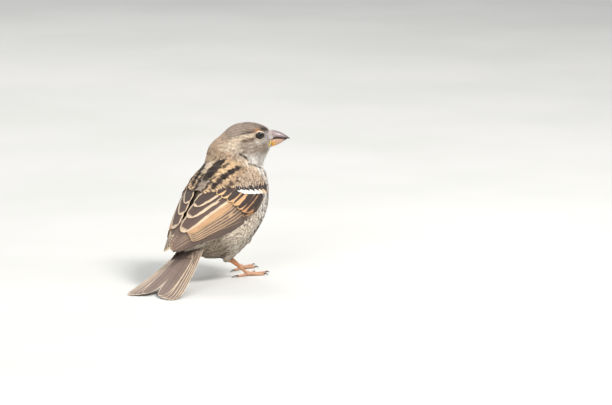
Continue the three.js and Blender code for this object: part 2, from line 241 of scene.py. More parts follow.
def set_piece(name, points, faces, material, tags=(), bake_map=None, lean=None):
    """A mesh piece from millimetre points and arrays of faces, set down on the bird."""
    mesh = bpy.data.meshes.new(name)
    points = np.asarray(points, float).reshape(-1, 3)
    corners = np.concatenate([f.ravel() for f in faces]).astype(np.int32)
    sizes = np.concatenate([np.full(len(f), f.shape[1], np.int32) for f in faces])
    starts = np.concatenate([[0], np.cumsum(sizes)[:-1]]).astype(np.int32)
    mesh.vertices.add(len(points))
    mesh.vertices.foreach_set("co", ((points + set_down) * MM).astype(np.float32).ravel())
    mesh.loops.add(len(corners))
    mesh.loops.foreach_set("vertex_index", corners)
    mesh.polygons.add(len(sizes))
    mesh.polygons.foreach_set("loop_start", starts)
    mesh.polygons.foreach_set("loop_total", sizes)
    mesh.polygons.foreach_set("use_smooth", np.full(len(sizes), True))
    for tag, values in dict(tags).items():
        values = np.asarray(values, np.float32).reshape(len(points), -1)
        is_colour = values.shape[1] == 3 and tag in ("middle", "edge")
        kind = "FLOAT_COLOR" if is_colour else "FLOAT_VECTOR"
        layer = mesh.attributes.new(tag, kind, "POINT")
        if is_colour:
            values = np.concatenate([values, np.ones((len(values), 1), np.float32)], 1)
        layer.data.foreach_set("color" if is_colour else "vector", values.ravel())
    if bake_map is not None:
        layer = mesh.uv_layers.new(name="OFBake")
        at = np.asarray(bake_map, np.float32)
        layer.data.foreach_set("uv", (at if len(at) == len(corners) else at[corners]).ravel())
    mesh.update(calc_edges=True)
    mesh.validate()
    if lean is not None:
        mesh.normals_split_custom_set_from_vertices(lean.reshape(-1, 3))
    piece = bpy.data.objects.new(name, mesh)
    bpy.context.scene.collection.objects.link(piece)
    mesh.materials.append(material)
    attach(piece, "root")
    return piece


# --- Skin --------------------------------------------------------------------
# One closed skin over the trunk, neck, head and thighs. Its form is that of the
# plumage drawn in by the depth of the coat, and it carries the coat's colours,
# so that nothing pale shows between feathers.

# Rounded masses of the plumage: along, above, then half-sizes along, above, beside
TRUNK_MASSES = (
    (9.9, -6.7, 14.1, 13.7, 16.6),
    (-5.2, -10.6, 19.2, 12.9, 17.1),
    (1.5, 8.8, 19.7, 10.9, 16.9),
    (-26.1, 3.5, 13.3, 6.2, 8.6),
    (-1.7, -3.2, 19.4, 13.5, 16.1),
    (-17.6, -6.9, 10.5, 7.6, 9.7),
)
NECK_MASSES = ((19.4, 4.4, 10.1, 14.3, 9.2), (24, -5.1, 8.7, 5.8, 9.5))
HEAD_MASSES = (
    (-1.1, -0.3, 12.5, 9.5, 9.9),
    (1.8, -5, 10.2, 9.4, 9.5),
    (5.9, 0.1, 6.3, 6, 6),
    (9.7, -0.2, 5.7, 4.8, 4),
    (-9.9, -9, 13.1, 11, 10.9),
)
BODY_BLEND, HEAD_BLEND, JOIN_BLEND, THIGH_BLEND = 5.0, 2.0, 3.5, 1.6
THIGHS = {"right": ((3.5, -9, 24), (-3, -6.5, 12.2)), "left": ((14, 8.5, 25), (8.5, 5, 12.6))}
THIGH_RADII = (5.2, 1.9)


def masses(table, home, axes):
    return [(home.place(row[0], row[1], 0), axes, np.array(row[2:])) for row in table]


body_masses = masses(TRUNK_MASSES, trunk, trunk) + masses(NECK_MASSES, trunk, neck)
head_masses = masses(HEAD_MASSES, head, head)


def mass_value(p, mass):
    """Distance-like value of points from one mass, and its outward direction."""
    at, axes, radii = mass
    q = (p - at) @ axes.rows.T
    near = np.linalg.norm(q / radii, axis=-1)
    slope = np.maximum(np.linalg.norm(q / radii**2, axis=-1), 1e-9)
    return near * (near - 1) / slope, (q / radii**2) @ axes.rows / slope[:, None]


def run_together(pairs, softness):
    values = np.stack([v for v, _ in pairs])
    weights = np.exp(-np.maximum(values, -60) / softness)
    total = weights.sum(0)
    out = sum(w[:, None] * n for w, (_, n) in zip(weights / total, pairs))
    return -softness * np.log(total), out


def thigh_radius(share):
    return THIGH_RADII[0] + (THIGH_RADII[1] - THIGH_RADII[0]) * share**0.8


def thigh_value(p, knee, ankle):
    """Value and direction of points from a thigh, which tapers to the ankle."""
    knee, ankle = np.array(knee, float), np.array(ankle, float)
    line = ankle - knee
    t = np.clip(((p - knee) @ line) / (line @ line), 0, 1)
    away = p - (knee + t[:, None] * line)
    distance = np.linalg.norm(away, axis=-1)
    return distance - thigh_radius(t), away / np.maximum(distance, 1e-9)[:, None]


def plumage(p):
    """Value of points from the plumage's outer surface, with its direction."""
    body = run_together([mass_value(p, m) for m in body_masses], BODY_BLEND)
    skull = run_together([mass_value(p, m) for m in head_masses], HEAD_BLEND)
    whole = run_together([body, skull], JOIN_BLEND)
    return run_together([whole, *(thigh_value(p, *t) for t in THIGHS.values())], THIGH_BLEND)


def settle(p, level, times=3):
    """Points moved straight in or out to a level of the plumage."""
    for _ in range(times):
        value, out = plumage(p)
        p = p - ((value - level) / np.maximum((out**2).sum(-1), 0.2))[:, None] * out
    return p


def nearness(p, knee, ankle):
    """1 on a thigh, 0 away from it."""
    return 1 - step(thigh_value(p, knee, ankle)[0], 0.3, 2.0)


def on_thigh(p):
    return np.maximum.reduce([nearness(p, *t) for t in THIGHS.values()])


def neck_place(p):
    """How far points lie along the neck, from the trunk to the head."""
    return (p - neck.at) @ neck.rows[0]


# Depth of the coat on the body, and how much less it is on the head and the face
BODY_COAT, HEAD_LESS, FACE_LESS = 2.3, 1.2, 0.45


def coat_depth(p):
    """How thick the feathers lie over the skin."""
    along, _, _ = head.read(p).T
    on_head = step(neck_place(p), 18, 27)
    deep = BODY_COAT - HEAD_LESS * on_head - FACE_LESS * on_head * step(along, 4, 10)
    return deep * (1 - 0.5 * on_thigh(p))


def back_under_wings(p):
    """1 where the folded wings lie on the back."""
    along, above, _ = trunk.read(p).T
    return step(above, -2, 3) * (1 - step(along, 6, 14)) * step(along, -50, -40)


SKIN_GRAIN = 1.0  # size of the skin's faces

lump = bmesh.new()
for at, axes, radii in body_masses + head_masses:
    made = bmesh.ops.create_icosphere(lump, subdivisions=4, radius=1)["verts"]
    for vert in made:
        vert.co = Vector(at + (np.array(vert.co) * radii) @ axes.rows)
for knee, ankle in THIGHS.values():
    for share in np.linspace(0.1, 1, 12):
        made = bmesh.ops.create_icosphere(lump, subdivisions=2, radius=thigh_radius(share))["verts"]
        middle = np.array(knee) + share * (np.array(ankle) - np.array(knee))
        bmesh.ops.translate(lump, verts=made, vec=Vector(middle))
lump_mesh = bpy.data.meshes.new("lump")
lump.to_mesh(lump_mesh)
lump.free()
lump_piece = bpy.data.objects.new("lump", lump_mesh)
bpy.context.scene.collection.objects.link(lump_piece)
remesh = lump_piece.modifiers.new("even", "REMESH")
remesh.mode = "VOXEL"
remesh.voxel_size = SKIN_GRAIN
graph = bpy.context.evaluated_depsgraph_get()
even_mesh = bpy.data.meshes.new_from_object(lump_piece.evaluated_get(graph))
skin_points = np.zeros(len(even_mesh.vertices) * 3, np.float32)
even_mesh.vertices.foreach_get("co", skin_points)
skin_points = skin_points.reshape(-1, 3).astype(float)
for _ in range(3):
    drawn_in = coat_depth(skin_points) + 0.6 * back_under_wings(skin_points)
    skin_points = settle(skin_points, -drawn_in)
even_mesh.vertices.foreach_set("co", skin_points.astype(np.float32).ravel())
even_mesh.update()
bpy.data.objects.remove(lump_piece)


# --- Markings ----------------------------------------------------------------
# A young or female house sparrow's colours, given by where a feather grows.
# Each place has the colour of a feather's middle and the colour of its edge, and
# skin and coat share them.

CROWN, NAPE = tint(158, 140, 126), tint(196, 166, 137)
BROW, CHEEK, THROAT = tint(226, 205, 178), tint(186, 170, 154), tint(248, 242, 234)
LORE, DARK, BROWN = tint(190, 180, 178), tint(46, 34, 30), tint(112, 84, 60)
BREAST, BELLY, FLANK = tint(240, 232, 223), tint(236, 224, 208), tint(216, 200, 180)
MANTLE_DARK, MANTLE_PALE = tint(44, 34, 32), tint(224, 190, 148)
MANTLE_GREY = tint(172, 156, 142)
BROW_MIDDLE = ((-15, -4.6), (-11, -3.2), (-8, -1.6), (-5, 0.6), (-2, 2.2), (2, 2.7), (6, 3.4))
BROW_HALF = ((-15, 1.6), (-11, 2.4), (-8, 2.6), (-5, 2.1), (-2, 1.3), (2, 1.1), (6, 0.7))
CROWN_EDGE = ((-19, -5), (-14, -0.8), (-8, 2.8), (-2, 4.3), (6, 5.3), (10, 5))


def over(under, colour, mask):
    """colour laid over another where the mask is 1."""
    return under + (colour - under) * np.clip(mask, 0, 1)[:, None]


def plain(p, colour):
    """One colour for every point."""
    return np.tile(colour, (len(p), 1))


def head_colours(p):
    """Colour of feathers on the head and neck."""
    along, above, beside = head.read(p).T
    beside = np.abs(beside)
    neckwards = 1 - step(neck_place(p), 20, 27)
    colour = over(plain(p, CHEEK), NAPE, step(along, -5, -14))
    low_front = step(above, -6.5, -10.5) * step(along, -5, 2)
    colour = over(colour, THROAT, low_front)
    colour = over(colour, THROAT, step(beside, 5, 1) * step(above, -3.5, -5.5) * step(along, 2, 5))
    sides = band(above, -11.5, 2.2) * step(along, 3, -2) * step(beside, 4, 8)
    colour = over(colour, tint(222, 196, 164), 0.8 * sides)
    over_crown = step(above, eased(CROWN_EDGE, along) - 0.7, eased(CROWN_EDGE, along) + 0.7)
    colour = over(colour, CROWN, over_crown * step(along, -22, -14))
    colour = over(colour, NAPE, over_crown * step(along, -8, -17) * 0.8)
    brow_off = np.abs(above - eased(BROW_MIDDLE, along)) / eased(BROW_HALF, along)
    brow = step(brow_off, 1.35, 0.75) * step(along, -18, -12) * step(along, 7, 5.5)
    brow = brow * step(beside, 2, 4)
    colour = over(colour, BROW, brow)
    colour = over(colour, LORE, step(along, 9.3, 11) * step(above, 5.2, 4) * step(above, -3, -1.5))
    stripe = band(above, 0.5 + 0.12 * (along - 2), 0.95) * step(along, -5, -1) * step(along, 5.6, 4)
    colour = over(colour, BROWN, 0.95 * stripe * step(beside, 4, 6))
    line = band(above, eased(BROW_MIDDLE, along) + 2.0, 0.62) * step(along, -6, -1)
    line = line * step(along, 5.6, 4.6) * step(beside, 3, 5)
    colour = over(colour, DARK, 0.9 * line)
    spot = band(above, 5.5, 0.75) * band(along, 7.2, 2.6) * step(beside, 3, 5)
    colour = over(colour, tint(224, 160, 106), 1.1 * spot)
    forecrown = band(above, 5.6 + 0.1 * (11 - along), 1.15) * step(along, 6, 10) * step(beside, 1.4, 3)
    colour = over(colour, DARK, 1.15 * forecrown)
    ring = band(np.hypot(along - EYE_ALONG, above - EYE_ABOVE), 4.2, 1.2) * step(above, 1.5, -0.5)
    colour = over(colour, tint(226, 218, 206), ring * step(along, 4, 6.5))
    mark_line = -7.3 - 0.62 * (along + 4.2)
    mark = step(np.abs(above - mark_line), 0.95, 0.5) * step(along, -4.9, -4.1)
    colour = over(colour, DARK, mark * step(along, 0.4, -0.4) * step(beside, 5, 8))
    patch = band(along, -9, 4.5) * band(above, -3.6, 2.4) * step(beside, 5, 8)
    colour = over(colour, tint(226, 208, 184), 0.75 * patch)
    colour = over(colour, NAPE, neckwards * step(along, -3, -9) * 0.7)
    shoulder_side = step(above, -12.5, -15.5) * step(beside, 8.3, 9.8)
    colour = over(colour, tint(208, 184, 156), 0.9 * shoulder_side)
    round_bill = np.arctan2(above + 0.6, beside)
    rays = np.sin(34 * round_bill + 1.3 * np.sin(0.55 * along) + 0.5 * np.sin(1.4 * along))
    broken = 0.55 + 0.45 * np.sin(1.05 * along + 6 * round_bill)
    colour = over(colour, tint(98, 78, 64), 0.34 * broken * step(rays, 0.1, 0.9))
    colour = over(colour, tint(244, 228, 206), 0.26 * broken * step(rays, -0.1, -0.9))
    forehead = step(along, 3, 8) * step(beside, 5, 3.5) * step(above, 3, 5)
    lines = step(np.sin(beside * 4.2 + 0.6 * np.sin(along * 1.7)), 0.1, 0.7)
    return over(colour, tint(92, 76, 68), 0.7 * lines * forehead)


def body_colours(p):
    """Colour of feathers on the trunk and thighs, away from the mantle."""
    along, above, beside = trunk.read(p).T
    colour = over(plain(p, BELLY), BREAST, step(along, 0, 10))
    flanks = step(np.abs(beside), 9, 15) * step(along, 8, -2) * step(above, -16, -8)
    colour = over(colour, FLANK, 0.75 * flanks)
    colour = over(colour, tint(164, 147, 127), step(along, -18, -26) * step(above, 6, -2))
    colour = over(colour, tint(156, 136, 116), step(above, 2, 8) * step(along, 4, -6))
    shoulder_side = step(above, -5, 1) * step(along, 2, 9) * step(np.abs(beside), 3, 7)
    colour = over(colour, tint(206, 184, 158), 0.8 * shoulder_side)
    colour = over(colour, tint(196, 172, 144), step(above, -2, 5) * step(along, 2, 10))
    return over(colour, tint(206, 190, 168), 0.6 * on_thigh(p))


def markings(p):
    """Middle and edge colours of the small feathers that grow at points."""
    on_head = step(neck_place(p), 12, 19)[:, None]
    colour = head_colours(p) * on_head + body_colours(p) * (1 - on_head)
    return colour * (0.9 + 0.05 * on_head), colour * (1.03 - 0.01 * on_head)


# --- Skin, finished ----------------------------------------------------------
# The skin takes the coat's middle colour, darkened in a fine grain as feather bases are
# and as painted shade between feathers. Its unwrap is what the coat's own maps are laid out on.


def skin_finish():
    material, wet, shader = finish("feather_roots", roughness=0.95, specular_ior_level=0.15)
    grain = wet.speckle(900.0, 4.0)
    # painted shade: the skin is darkened in a fine grain where it shows between feathers
    shade = grain.ramp(0.35, 0.65, 0.1, 0.35)
    coat_on(shader, base_color=shade.blend(wet.read("middle", "Color"), (0.1, 0.08, 0.065)))
    coat_on(shader, normal=grain.bump(0.4, 0.0004))
    return material


skin_faces = [
    np.array([p.vertices[:] for p in even_mesh.polygons if len(p.vertices) == n], int)
    for n in (3, 4)
]
skin_faces = [f for f in skin_faces if len(f)]
skin_middle, _ = markings(skin_points)
skin = set_piece(
    "skin", skin_points, skin_faces, skin_finish(), {"middle": skin_middle}
)
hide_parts("head", "neck", "trunk", "rump", "thigh_left", "thigh_right")
bpy.context.view_layer.objects.active = skin
skin.select_set(True)
bpy.ops.object.mode_set(mode="EDIT")
bpy.ops.mesh.select_all(action="SELECT")
bpy.ops.uv.smart_project(angle_limit=math.radians(66), island_margin=0.004)
bpy.ops.object.mode_set(mode="OBJECT")
skin.select_set(False)
skin.data.uv_layers[0].name = "OFBake"
corner_of = np.zeros(len(skin.data.loops), np.int32)
skin.data.loops.foreach_get("vertex_index", corner_of)
corner_at = np.zeros(len(skin.data.loops) * 2, np.float32)
skin.data.uv_layers[0].data.foreach_get("uv", corner_at)
skin_map = np.zeros((len(skin_points), 2))
skin_map[corner_of] = corner_at.reshape(-1, 2)

skin_tree = KDTree(len(skin_points))
for i, at in enumerate(skin_points):
    skin_tree.insert(at, i)
skin_tree.balance()


# --- Small feathers ----------------------------------------------------------
# The coat over the whole skin: each feather is a thin vane of barbs on both
# sides of its shaft, rooted in the skin, laid along the lie of the coat and
# lifting towards its tip, so that each row covers the roots of the one behind.

rng = np.random.default_rng(7)
BILL_ROOT = head.place(12.5, -0.6, 0)
STEPS = 6  # places along each shaft where it is laid on the coat
PATCH = 0.003  # size of a feather's patch on the skin's map
SPACING = 1.0  # between feathers on the body; closer on the head and thighs
TRIES = 120000  # places thrown over the skin, of which the spaced ones are kept


def lie(p, out):
    """Which way feathers point: away from the bill, down the neck, to the tail."""
    from_bill = unit(p - BILL_ROOT)
    along = neck_place(p)
    on_head = step(along, 19, 29)[:, None]
    on_trunk = (1 - on_head) * (1 - step(along, 4, 18))[:, None]
    way = from_bill * on_head - neck.rows[0] * (1 - on_head - on_trunk)
    way = way - trunk.rows[0] * on_trunk
    for knee, ankle in THIGHS.values():
        down_leg = unit(np.array(ankle) - np.array(knee))
        way = way + 2.5 * nearness(p, knee, ankle)[:, None] * down_leg
    way = way - (way * out).sum(-1, keepdims=True) * out
    return unit(way)


def turned(way, out, angle):
    """way turned about out."""
    c, s = np.cos(angle)[:, None], np.sin(angle)[:, None]
    return way * c + np.cross(out, way) * s


def shafts(roots, length, low, high, swing):
    """Shafts laid on the coat: their points, outward directions and side directions."""
    p, line = settle(roots, low), []
    for i in range(STEPS):
        t = i / (STEPS - 1)
        p = settle(p, low + (high - low) * (1 - (1 - t) ** 1.8), 2)
        out = unit(plumage(p)[1])
        ahead = turned(lie(p, out), out, swing)
        line.append((p, out, np.cross(out, ahead)))
        p = p + ahead * (length / (STEPS - 1))[:, None]
    return [np.stack(rows, 1) for rows in zip(*line)]


def outline(t, blunt=0.6):
    """Half-width of a vane at a share of its length, 1 at its widest."""
    return np.sqrt(np.clip(1 - (2 * np.clip(t, 0, 1) ** 0.85 - 1) ** 2, 0, 1)) ** blunt


def barb_pattern(pairs, open_=0.0):
    """A small feather's points: across, along, lift, looseness and barb, and its faces.
    Barbs grow from the shaft in pairs and end bluntly on the outline of the vane."""
    points, quads = [], []
    gap = 0.84 / (pairs - 1)
    half = gap * (0.62 - 0.2 * open_)
    for side in (-1, 1):
        for i in range(pairs):
            start = 0.02 + gap * i
            reach = 0.34 - 0.2 * i / (pairs - 1)
            end = min(start + reach, 0.985)
            bend = start + 0.45 * reach
            n = len(points)
            wide, tip = 0.6 * outline(bend), outline(end)
            blunt = half * (0.75 - 0.5 * open_)
            points += [
                (0, max(start - half, 0), 0.0, 0, i),
                (0, min(start + half, 1), 0.05, 0, i),
                (side * wide, bend + half, 0.05, 0.4, i),
                (side * wide, bend - half, 0.0, 0.4, i),
                (side * tip, min(end + blunt, 1), 0.02, 1, i),
                (side * outline(end - blunt), end - blunt, 0.0, 1, i),
            ]
            for ring in ((0, 1, 2, 3), (3, 2, 4, 5)):
                quads.append([n + k for k in (ring if side > 0 else ring[::-1])])
    n = len(points)
    points += [
        (-0.2, 0.78, 0.04, 0.2, pairs),
        (0.2, 0.78, 0.04, 0.2, pairs),
        (0.24, 0.94, 0.04, 0.6, pairs),
        (-0.24, 0.94, 0.04, 0.6, pairs),
        (-0.1, 1, 0.04, 1, pairs),
        (0.1, 1, 0.04, 1, pairs),
    ]
    quads += [[n + 3, n + 2, n + 1, n], [n + 4, n + 5, n + 2, n + 3]]
    return np.array(points, float), np.array(quads)


def feathers(name, lines, roots, width, pattern, colours, material,
             ragged=0.1, hollow=0.12, edge=0.35, streak=0.0, mark_spread=1.0):
    """Joins many small feathers, each a barb pattern laid along its shaft."""
    points, quads = pattern
    across, along, lift, loose, barb = points.T
    mids, outs, sides = lines
    count, each = len(mids), len(points)
    spread = rng.normal(0, ragged, (count, each, 3)) * loose[None, :, None]
    place = np.clip(along + spread[..., 1] * 0.35, 0, 1.08) * (STEPS - 1)
    i = np.clip(place.astype(int), 0, STEPS - 2)
    t = (place - i)[..., None]
    row = np.arange(count)[:, None]
    at, out, side = (a[row, i] * (1 - t) + a[row, i + 1] * t for a in (mids, outs, sides))
    half = (width / 2)[:, None]
    off = across * half * (1 + spread[..., 0])
    sink = hollow * across**2 * half
    rise = lift + spread[..., 2] * half * 0.45 - sink
    shape = at + side * off[..., None] + out * rise[..., None]
    rim = np.abs(across) / np.maximum(outline(along), 0.2)
    rim = np.where(along > 0.97, 1.0, rim)
    vane = np.stack(np.broadcast_arrays(rim[None], along[None], rng.random(count)[:, None]), -1)
    grain = rng.normal(1, 0.06, (count, int(barb.max()) + 1))[:, barb.astype(int)]
    marked_at = (at + side * (off * mark_spread)[..., None]).reshape(-1, 3)
    middle, rim_colour = (c.reshape(shape.shape) for c in colours(marked_at))
    marks = np.zeros(shape.shape)
    marks[..., 0] = np.reshape(edge, (-1, 1))
    marks[..., 1] = np.reshape(streak, (-1, 1))
    tags = {
        "vane": vane,
        "middle": middle * grain[..., None],
        "edge": rim_colour * grain[..., None],
        "marks": marks,
    }
    faces = [(quads[None] + (np.arange(count) * each)[:, None, None]).reshape(-1, 4)]
    nearest = np.array([skin_tree.find(at)[1] for at in roots])
    at_root = skin_map[nearest][:, None]
    patch = np.stack([across * 0.5, along - 0.5], -1)[None] * PATCH
    bake_map = (at_root + patch).reshape(-1, 2)
    lean = unit(out + side * (0.35 * across + 0.3 * spread[..., 0])[..., None])
    return set_piece(name, shape, faces, material, tags, bake_map, lean)


def feather_finish(name, roughness, sheen):
    """Feather: a middle and an edge colour, barbs running out from the shaft."""
    material, wet, shader = finish(
        name, roughness=roughness, specular_ior_level=0.25, sheen_weight=sheen
    )
    rim, along, seed = wet.read("vane").parts()
    edge, streak, _ = wet.read("marks").parts()
    mottle = wet.speckle(700.0, 3.0)
    ragged = rim + (mottle - 0.5) * 0.5
    tip = along + (mottle - 0.5) * 0.25
    at_edge = (ragged + edge).ramp(0.85, 1.15)
    at_tip = (tip + edge * 0.6).ramp(0.88, 1.05)
    colour = at_edge.most(at_tip).blend(wet.read("middle", "Color"), wet.read("edge", "Color"))
    shaft = abs(rim).ramp(0.0, 0.2, 1.0, 0.0) * streak
    colour = shaft.blend(colour, (0.03, 0.02, 0.016))
    colour = seed.ramp(0.35, 1.0, 0.0, 0.26).blend(colour, (0.14, 0.1, 0.075))
    # darker patches a few millimetres across: painted shade in the gaps between tufts of the coat
    patch = wet.speckle(330.0, 4.0)
    colour = patch.ramp(0.48, 0.66, 0.0, 0.3).blend(colour, (0.13, 0.095, 0.07))
    barbs = wet.speckle(2600.0, 2.0)
    colour = barbs.ramp(0.3, 0.7, 0.0, 0.12).blend(colour, (0.05, 0.04, 0.03))
    coat_on(shader, base_color=colour)
    coat_on(shader, normal=barbs.bump(0.35, 0.0002))
    return material


def spacing_at(p):
    """Distance between feathers: smallest on the face and shanks."""
    on_head = step(neck_place(p), 16, 27)
    face = on_head * step(head.read(p)[:, 0], 1, 8)
    return SPACING - 0.36 * on_head - 0.12 * face - 0.27 * on_thigh(p)


def scatter():
    """Evenly spaced roots over the skin, no two closer than the spacing."""
    quads = skin_faces[-1]
    corners = skin_points[quads]
    area = np.linalg.norm(
        np.cross(corners[:, 2] - corners[:, 0], corners[:, 3] - corners[:, 1]), axis=-1
    )
    density = area / spacing_at(corners.mean(1)) ** 2
    picked = rng.choice(len(quads), TRIES, p=density / density.sum())
    u, v = rng.random((2, len(picked), 1))
    a, b, c, d = (corners[picked, k] for k in range(4))
    points = (a * (1 - u) + b * u) * (1 - v) + (d * (1 - u) + c * u) * v
    wanted = spacing_at(points)
    tree = KDTree(len(points))
    for i, at in enumerate(points):
        tree.insert(at, i)
    tree.balance()
    dropped = np.zeros(len(points), bool)
    kept = []
    for i, at in enumerate(points):
        if dropped[i]:
            continue
        kept.append(i)
        for _, j, _ in tree.find_range(at, wanted[i]):
            dropped[j] = True
    return points[kept]


roots = scatter()
r_along, r_above, r_beside = trunk.read(roots).T
r_neck = neck_place(roots)
h_along, h_above, _ = head.read(roots).T

eye_off = np.minimum.reduce(
    [np.linalg.norm(roots - head.place(EYE_ALONG, EYE_ABOVE, s * 8.2), axis=-1) for s in (-1, 1)]
)
in_bill = (h_along > 13.4) | ((h_along > 12.2) & (h_above < -1.5) & (h_above > -5.2))
hidden = (
    (step(r_above, 3, 4) > 0.5) & (np.abs(r_beside) > 7) & (r_along < 12) & (r_along > -30)
)
bare = (eye_off < 2.6) | in_bill
face = (r_neck > 22) & (h_along > 0)
crown = (r_neck > 22) & ~face
on_neck = (r_neck > 11) & (r_neck <= 22)
legs_here = on_thigh(roots) > 0.5
rest = (r_neck <= 11) & ~legs_here
COATS = {
    # name: roots, slot, length, width, lift of the tip, swing, raggedness, pairs of barbs
    "coat_face": (face & ~bare, "head_plumage", 2.1, 0.9, 0.02, 0.08, 0.08, 6),
    "coat_crown": (crown, "head_plumage", 3.6, 1.3, 0.02, 0.08, 0.08, 8),
    "coat_neck": (on_neck, "neck_plumage", 5.2, 1.9, 0.03, 0.1, 0.09, 10),
    "coat_breast": (
        rest & (r_along > 2) & ~hidden, "trunk_plumage", 6.2, 2.3, 0.04, 0.1, 0.1, 11
    ),
    "coat_belly": (
        rest & (r_along <= 2) & (r_above < 4), "trunk_plumage", 7.8, 2.7, 0.14, 0.16, 0.2, 11
    ),
    "coat_back": (
        rest & (r_along <= 2) & (r_above >= 4) & ~hidden,
        "rump_plumage", 7.5, 3.0, 0.0, 0.1, 0.2, 9,
    ),
    "coat_thighs": (legs_here, "leg_plumage", 4.6, 1.7, 0.08, 0.15, 0.2, 8),
}
soft_finish = feather_finish("soft_feather", roughness=0.9, sheen=0.15)
for name, (chosen, slot, length, width, lifted, swing, ragged, pairs) in COATS.items():
    here = roots[chosen]
    count = len(here)
    size = rng.normal(1, 0.08, count) * (1 - 0.5 * step(eye_off[chosen], 4.2, 2.8))
    small = 1 - 0.42 * step(head.read(here)[:, 0], 3, 10) * step(neck_place(here), 20, 26)
    long_, wide = length * size * small, width * size * small
    wild = rng.random(count) < ragged * 0.35
    tips = rng.normal(lifted, 0.35 * ragged, count)
    tips = tips + wild * rng.uniform(0.3, 1.4, count) * ragged * 2
    lines = shafts(
        here, long_, -0.9 * coat_depth(here), tips, rng.normal(0, swing, count)
    )
    feathers(
        name, lines, here, wide, barb_pattern(pairs, ragged), markings, soft_finish, ragged
    )


# --- Mantle and scapulars ----------------------------------------------------
# The feathers of the upper back, laid over the roots of the wings in staggered
# rows. They carry the black and straw-coloured streaks of the back.

# Form under the folded wings: place along, its top, middle and half-width there
WING_TUBE = (
    (-52, 13.8, 10.4, 5.4), (-40, 16.8, 7.8, 10.4), (-30, 19, 5.6, 15), (-20, 20.8, 3.3, 19),
    (-10, 22.3, 1.1, 22), (0, 23.1, 0, 23.3), (10, 22.4, -0.5, 22.7), (17, 20.8, -1, 21),
    (24, 18.4, -1.5, 17.8),
)


def on_back(along, turn, height):
    """A point over the back: place along the trunk, degrees from its top line
    towards the left, and height over the form that the folded wings lie on."""
    middle = eased(WING_TUBE, along, 2)
    tall = eased(WING_TUBE, along, 1) - middle + height
    wide = eased(WING_TUBE, along, 3) + height
    angle = np.radians(turn)
    return trunk.place(along, middle + tall * np.cos(angle), wide * np.sin(angle))


def spot_on_back(p):
    """Place along the trunk and degrees from its top line of points."""
    along, above, beside = trunk.read(p).T
    middle = eased(WING_TUBE, along, 2)
    tall = eased(WING_TUBE, along, 1) - middle
    wide = eased(WING_TUBE, along, 3)
    return along, np.degrees(np.arctan2(beside / wide, (above - middle) / tall))


# Middle of the outer black streak: place along the trunk, degrees from the middle
OUTER_STREAK = ((-8, 17.5), (-5, 19), (2, 22), (8, 25.5), (13, 30), (18, 33))


def mantle_colours(p):
    """Middle and edge colours of the back's feathers."""
    along, turn = spot_on_back(p)
    wander = 0.9 * np.sin(along * 1.5 + turn * 0.25) + 0.6 * np.sin(along * 3.1 - turn * 0.5)
    off = np.abs(turn + 3) + wander
    colour = over(plain(p, MANTLE_PALE), tint(196, 164, 132), step(off, 30, 36))
    # paler cream on the left of the mantle: its pale brace, whitened further as a painted highlight
    brace_and_sheen = step(turn, 4, 9) * step(along, -2, 6)
    colour = over(colour, tint(236, 220, 196), 0.8 * brace_and_sheen * step(off, 30, 22))
    colour = over(colour, MANTLE_GREY, step(along, 0.5, -3) * step(off, 12, 7))
    wide = np.interp(along, (-4, 0, 8, 14), (1.8, 7.4, 8.8, 7.0))
    ink = step(off, wide + 1, wide - 0.6) * step(along, -4.5, -2.5)
    outer_width = np.interp(along, (-8, -3, 4, 13), (2.0, 4.6, 5.0, 4.2))
    outer = np.abs(off - eased(OUTER_STREAK, along))
    ink = np.maximum(ink, step(outer, outer_width + 0.8, outer_width - 0.8) * step(along, -9.5, -6.5))
    inner = np.abs(off - 9.5 - 0.25 * (along + 4)) - 0.9 * (turn > 0)
    ink = np.maximum(ink, step(inner, 2.4, 1.2) * step(along, 3.5, 1) * step(along, -13, -11))
    for across, first, last, half in ((13, 9.5, 15, 2.6), (36.5, -3, 4, 2.4), (42, 5, 10, 2.2)):
        dash = step(np.abs(off - across), half + 0.6, half - 0.6)
        dash = dash * step(along, first - 1, first + 1) * step(along, last + 1, last - 1)
        ink = np.maximum(ink, 0.9 * dash * (turn < 0))
    brown = step(wander, 0.2, 1.4) * step(off, 31, 36)
    colour = over(colour, tint(112, 84, 66), 0.6 * brown)
    far_out = step(off, 44, 47) * (turn > 0)
    ink = np.maximum(ink, far_out * 0.9)
    colour = over(colour, MANTLE_DARK, ink)
    nape = step(along, 15.5, 18.5)
    colour = over(colour, tint(186, 160, 132), nape * 0.9)
    return colour * 0.94, over(colour, MANTLE_PALE, 0.12 * (1 - ink))


def joined(line):
    """Shafts from their points and outward directions, step by step."""
    mids, outs = [np.stack(rows, 1) for rows in zip(*line)]
    return mids, outs, unit(np.cross(outs, unit(np.gradient(mids, axis=1))))


def back_shafts(along, turn, length, swing, lifted):
    """Shafts of feathers laid over the back from the given spots."""
    line = []
    for i in range(STEPS):
        t = i / (STEPS - 1)
        here = along - length * t
        angle = turn * (1 - 0.1 * t) + swing * t
        cover = -plumage(on_back(here, angle, 0))[0]
        low = np.clip(cover, -4, 1) - 0.9
        high = np.maximum(np.clip(cover, -4, 1), 0.35) + lifted
        mid = on_back(here, angle, low + (high - low) * (1 - (1 - t) ** 1.6))
        line.append((mid, unit(on_back(here, angle, 1) - on_back(here, angle, 0))))
    return joined(line)


def rows_over_back(first, last, spacing, low, high, across, reaches):
    """Staggered places for feathers, kept where reaches(along, turn) is true."""
    spots = []
    for row, along in enumerate(np.arange(first, last, -spacing)):
        for turn in np.arange(low + across / 2 * (row % 2), high, across):
            if reaches(along, turn):
                spots.append((along, turn))
    return (np.array(spots) + rng.normal(0, (0.25, 0.5), (len(spots), 2))).T


def in_mantle(along, turn):
    return abs(turn) < np.interp(along, (-3.5, -1, 4, 9, 13, 21), (20, 30, 38, 46, 54, 46))


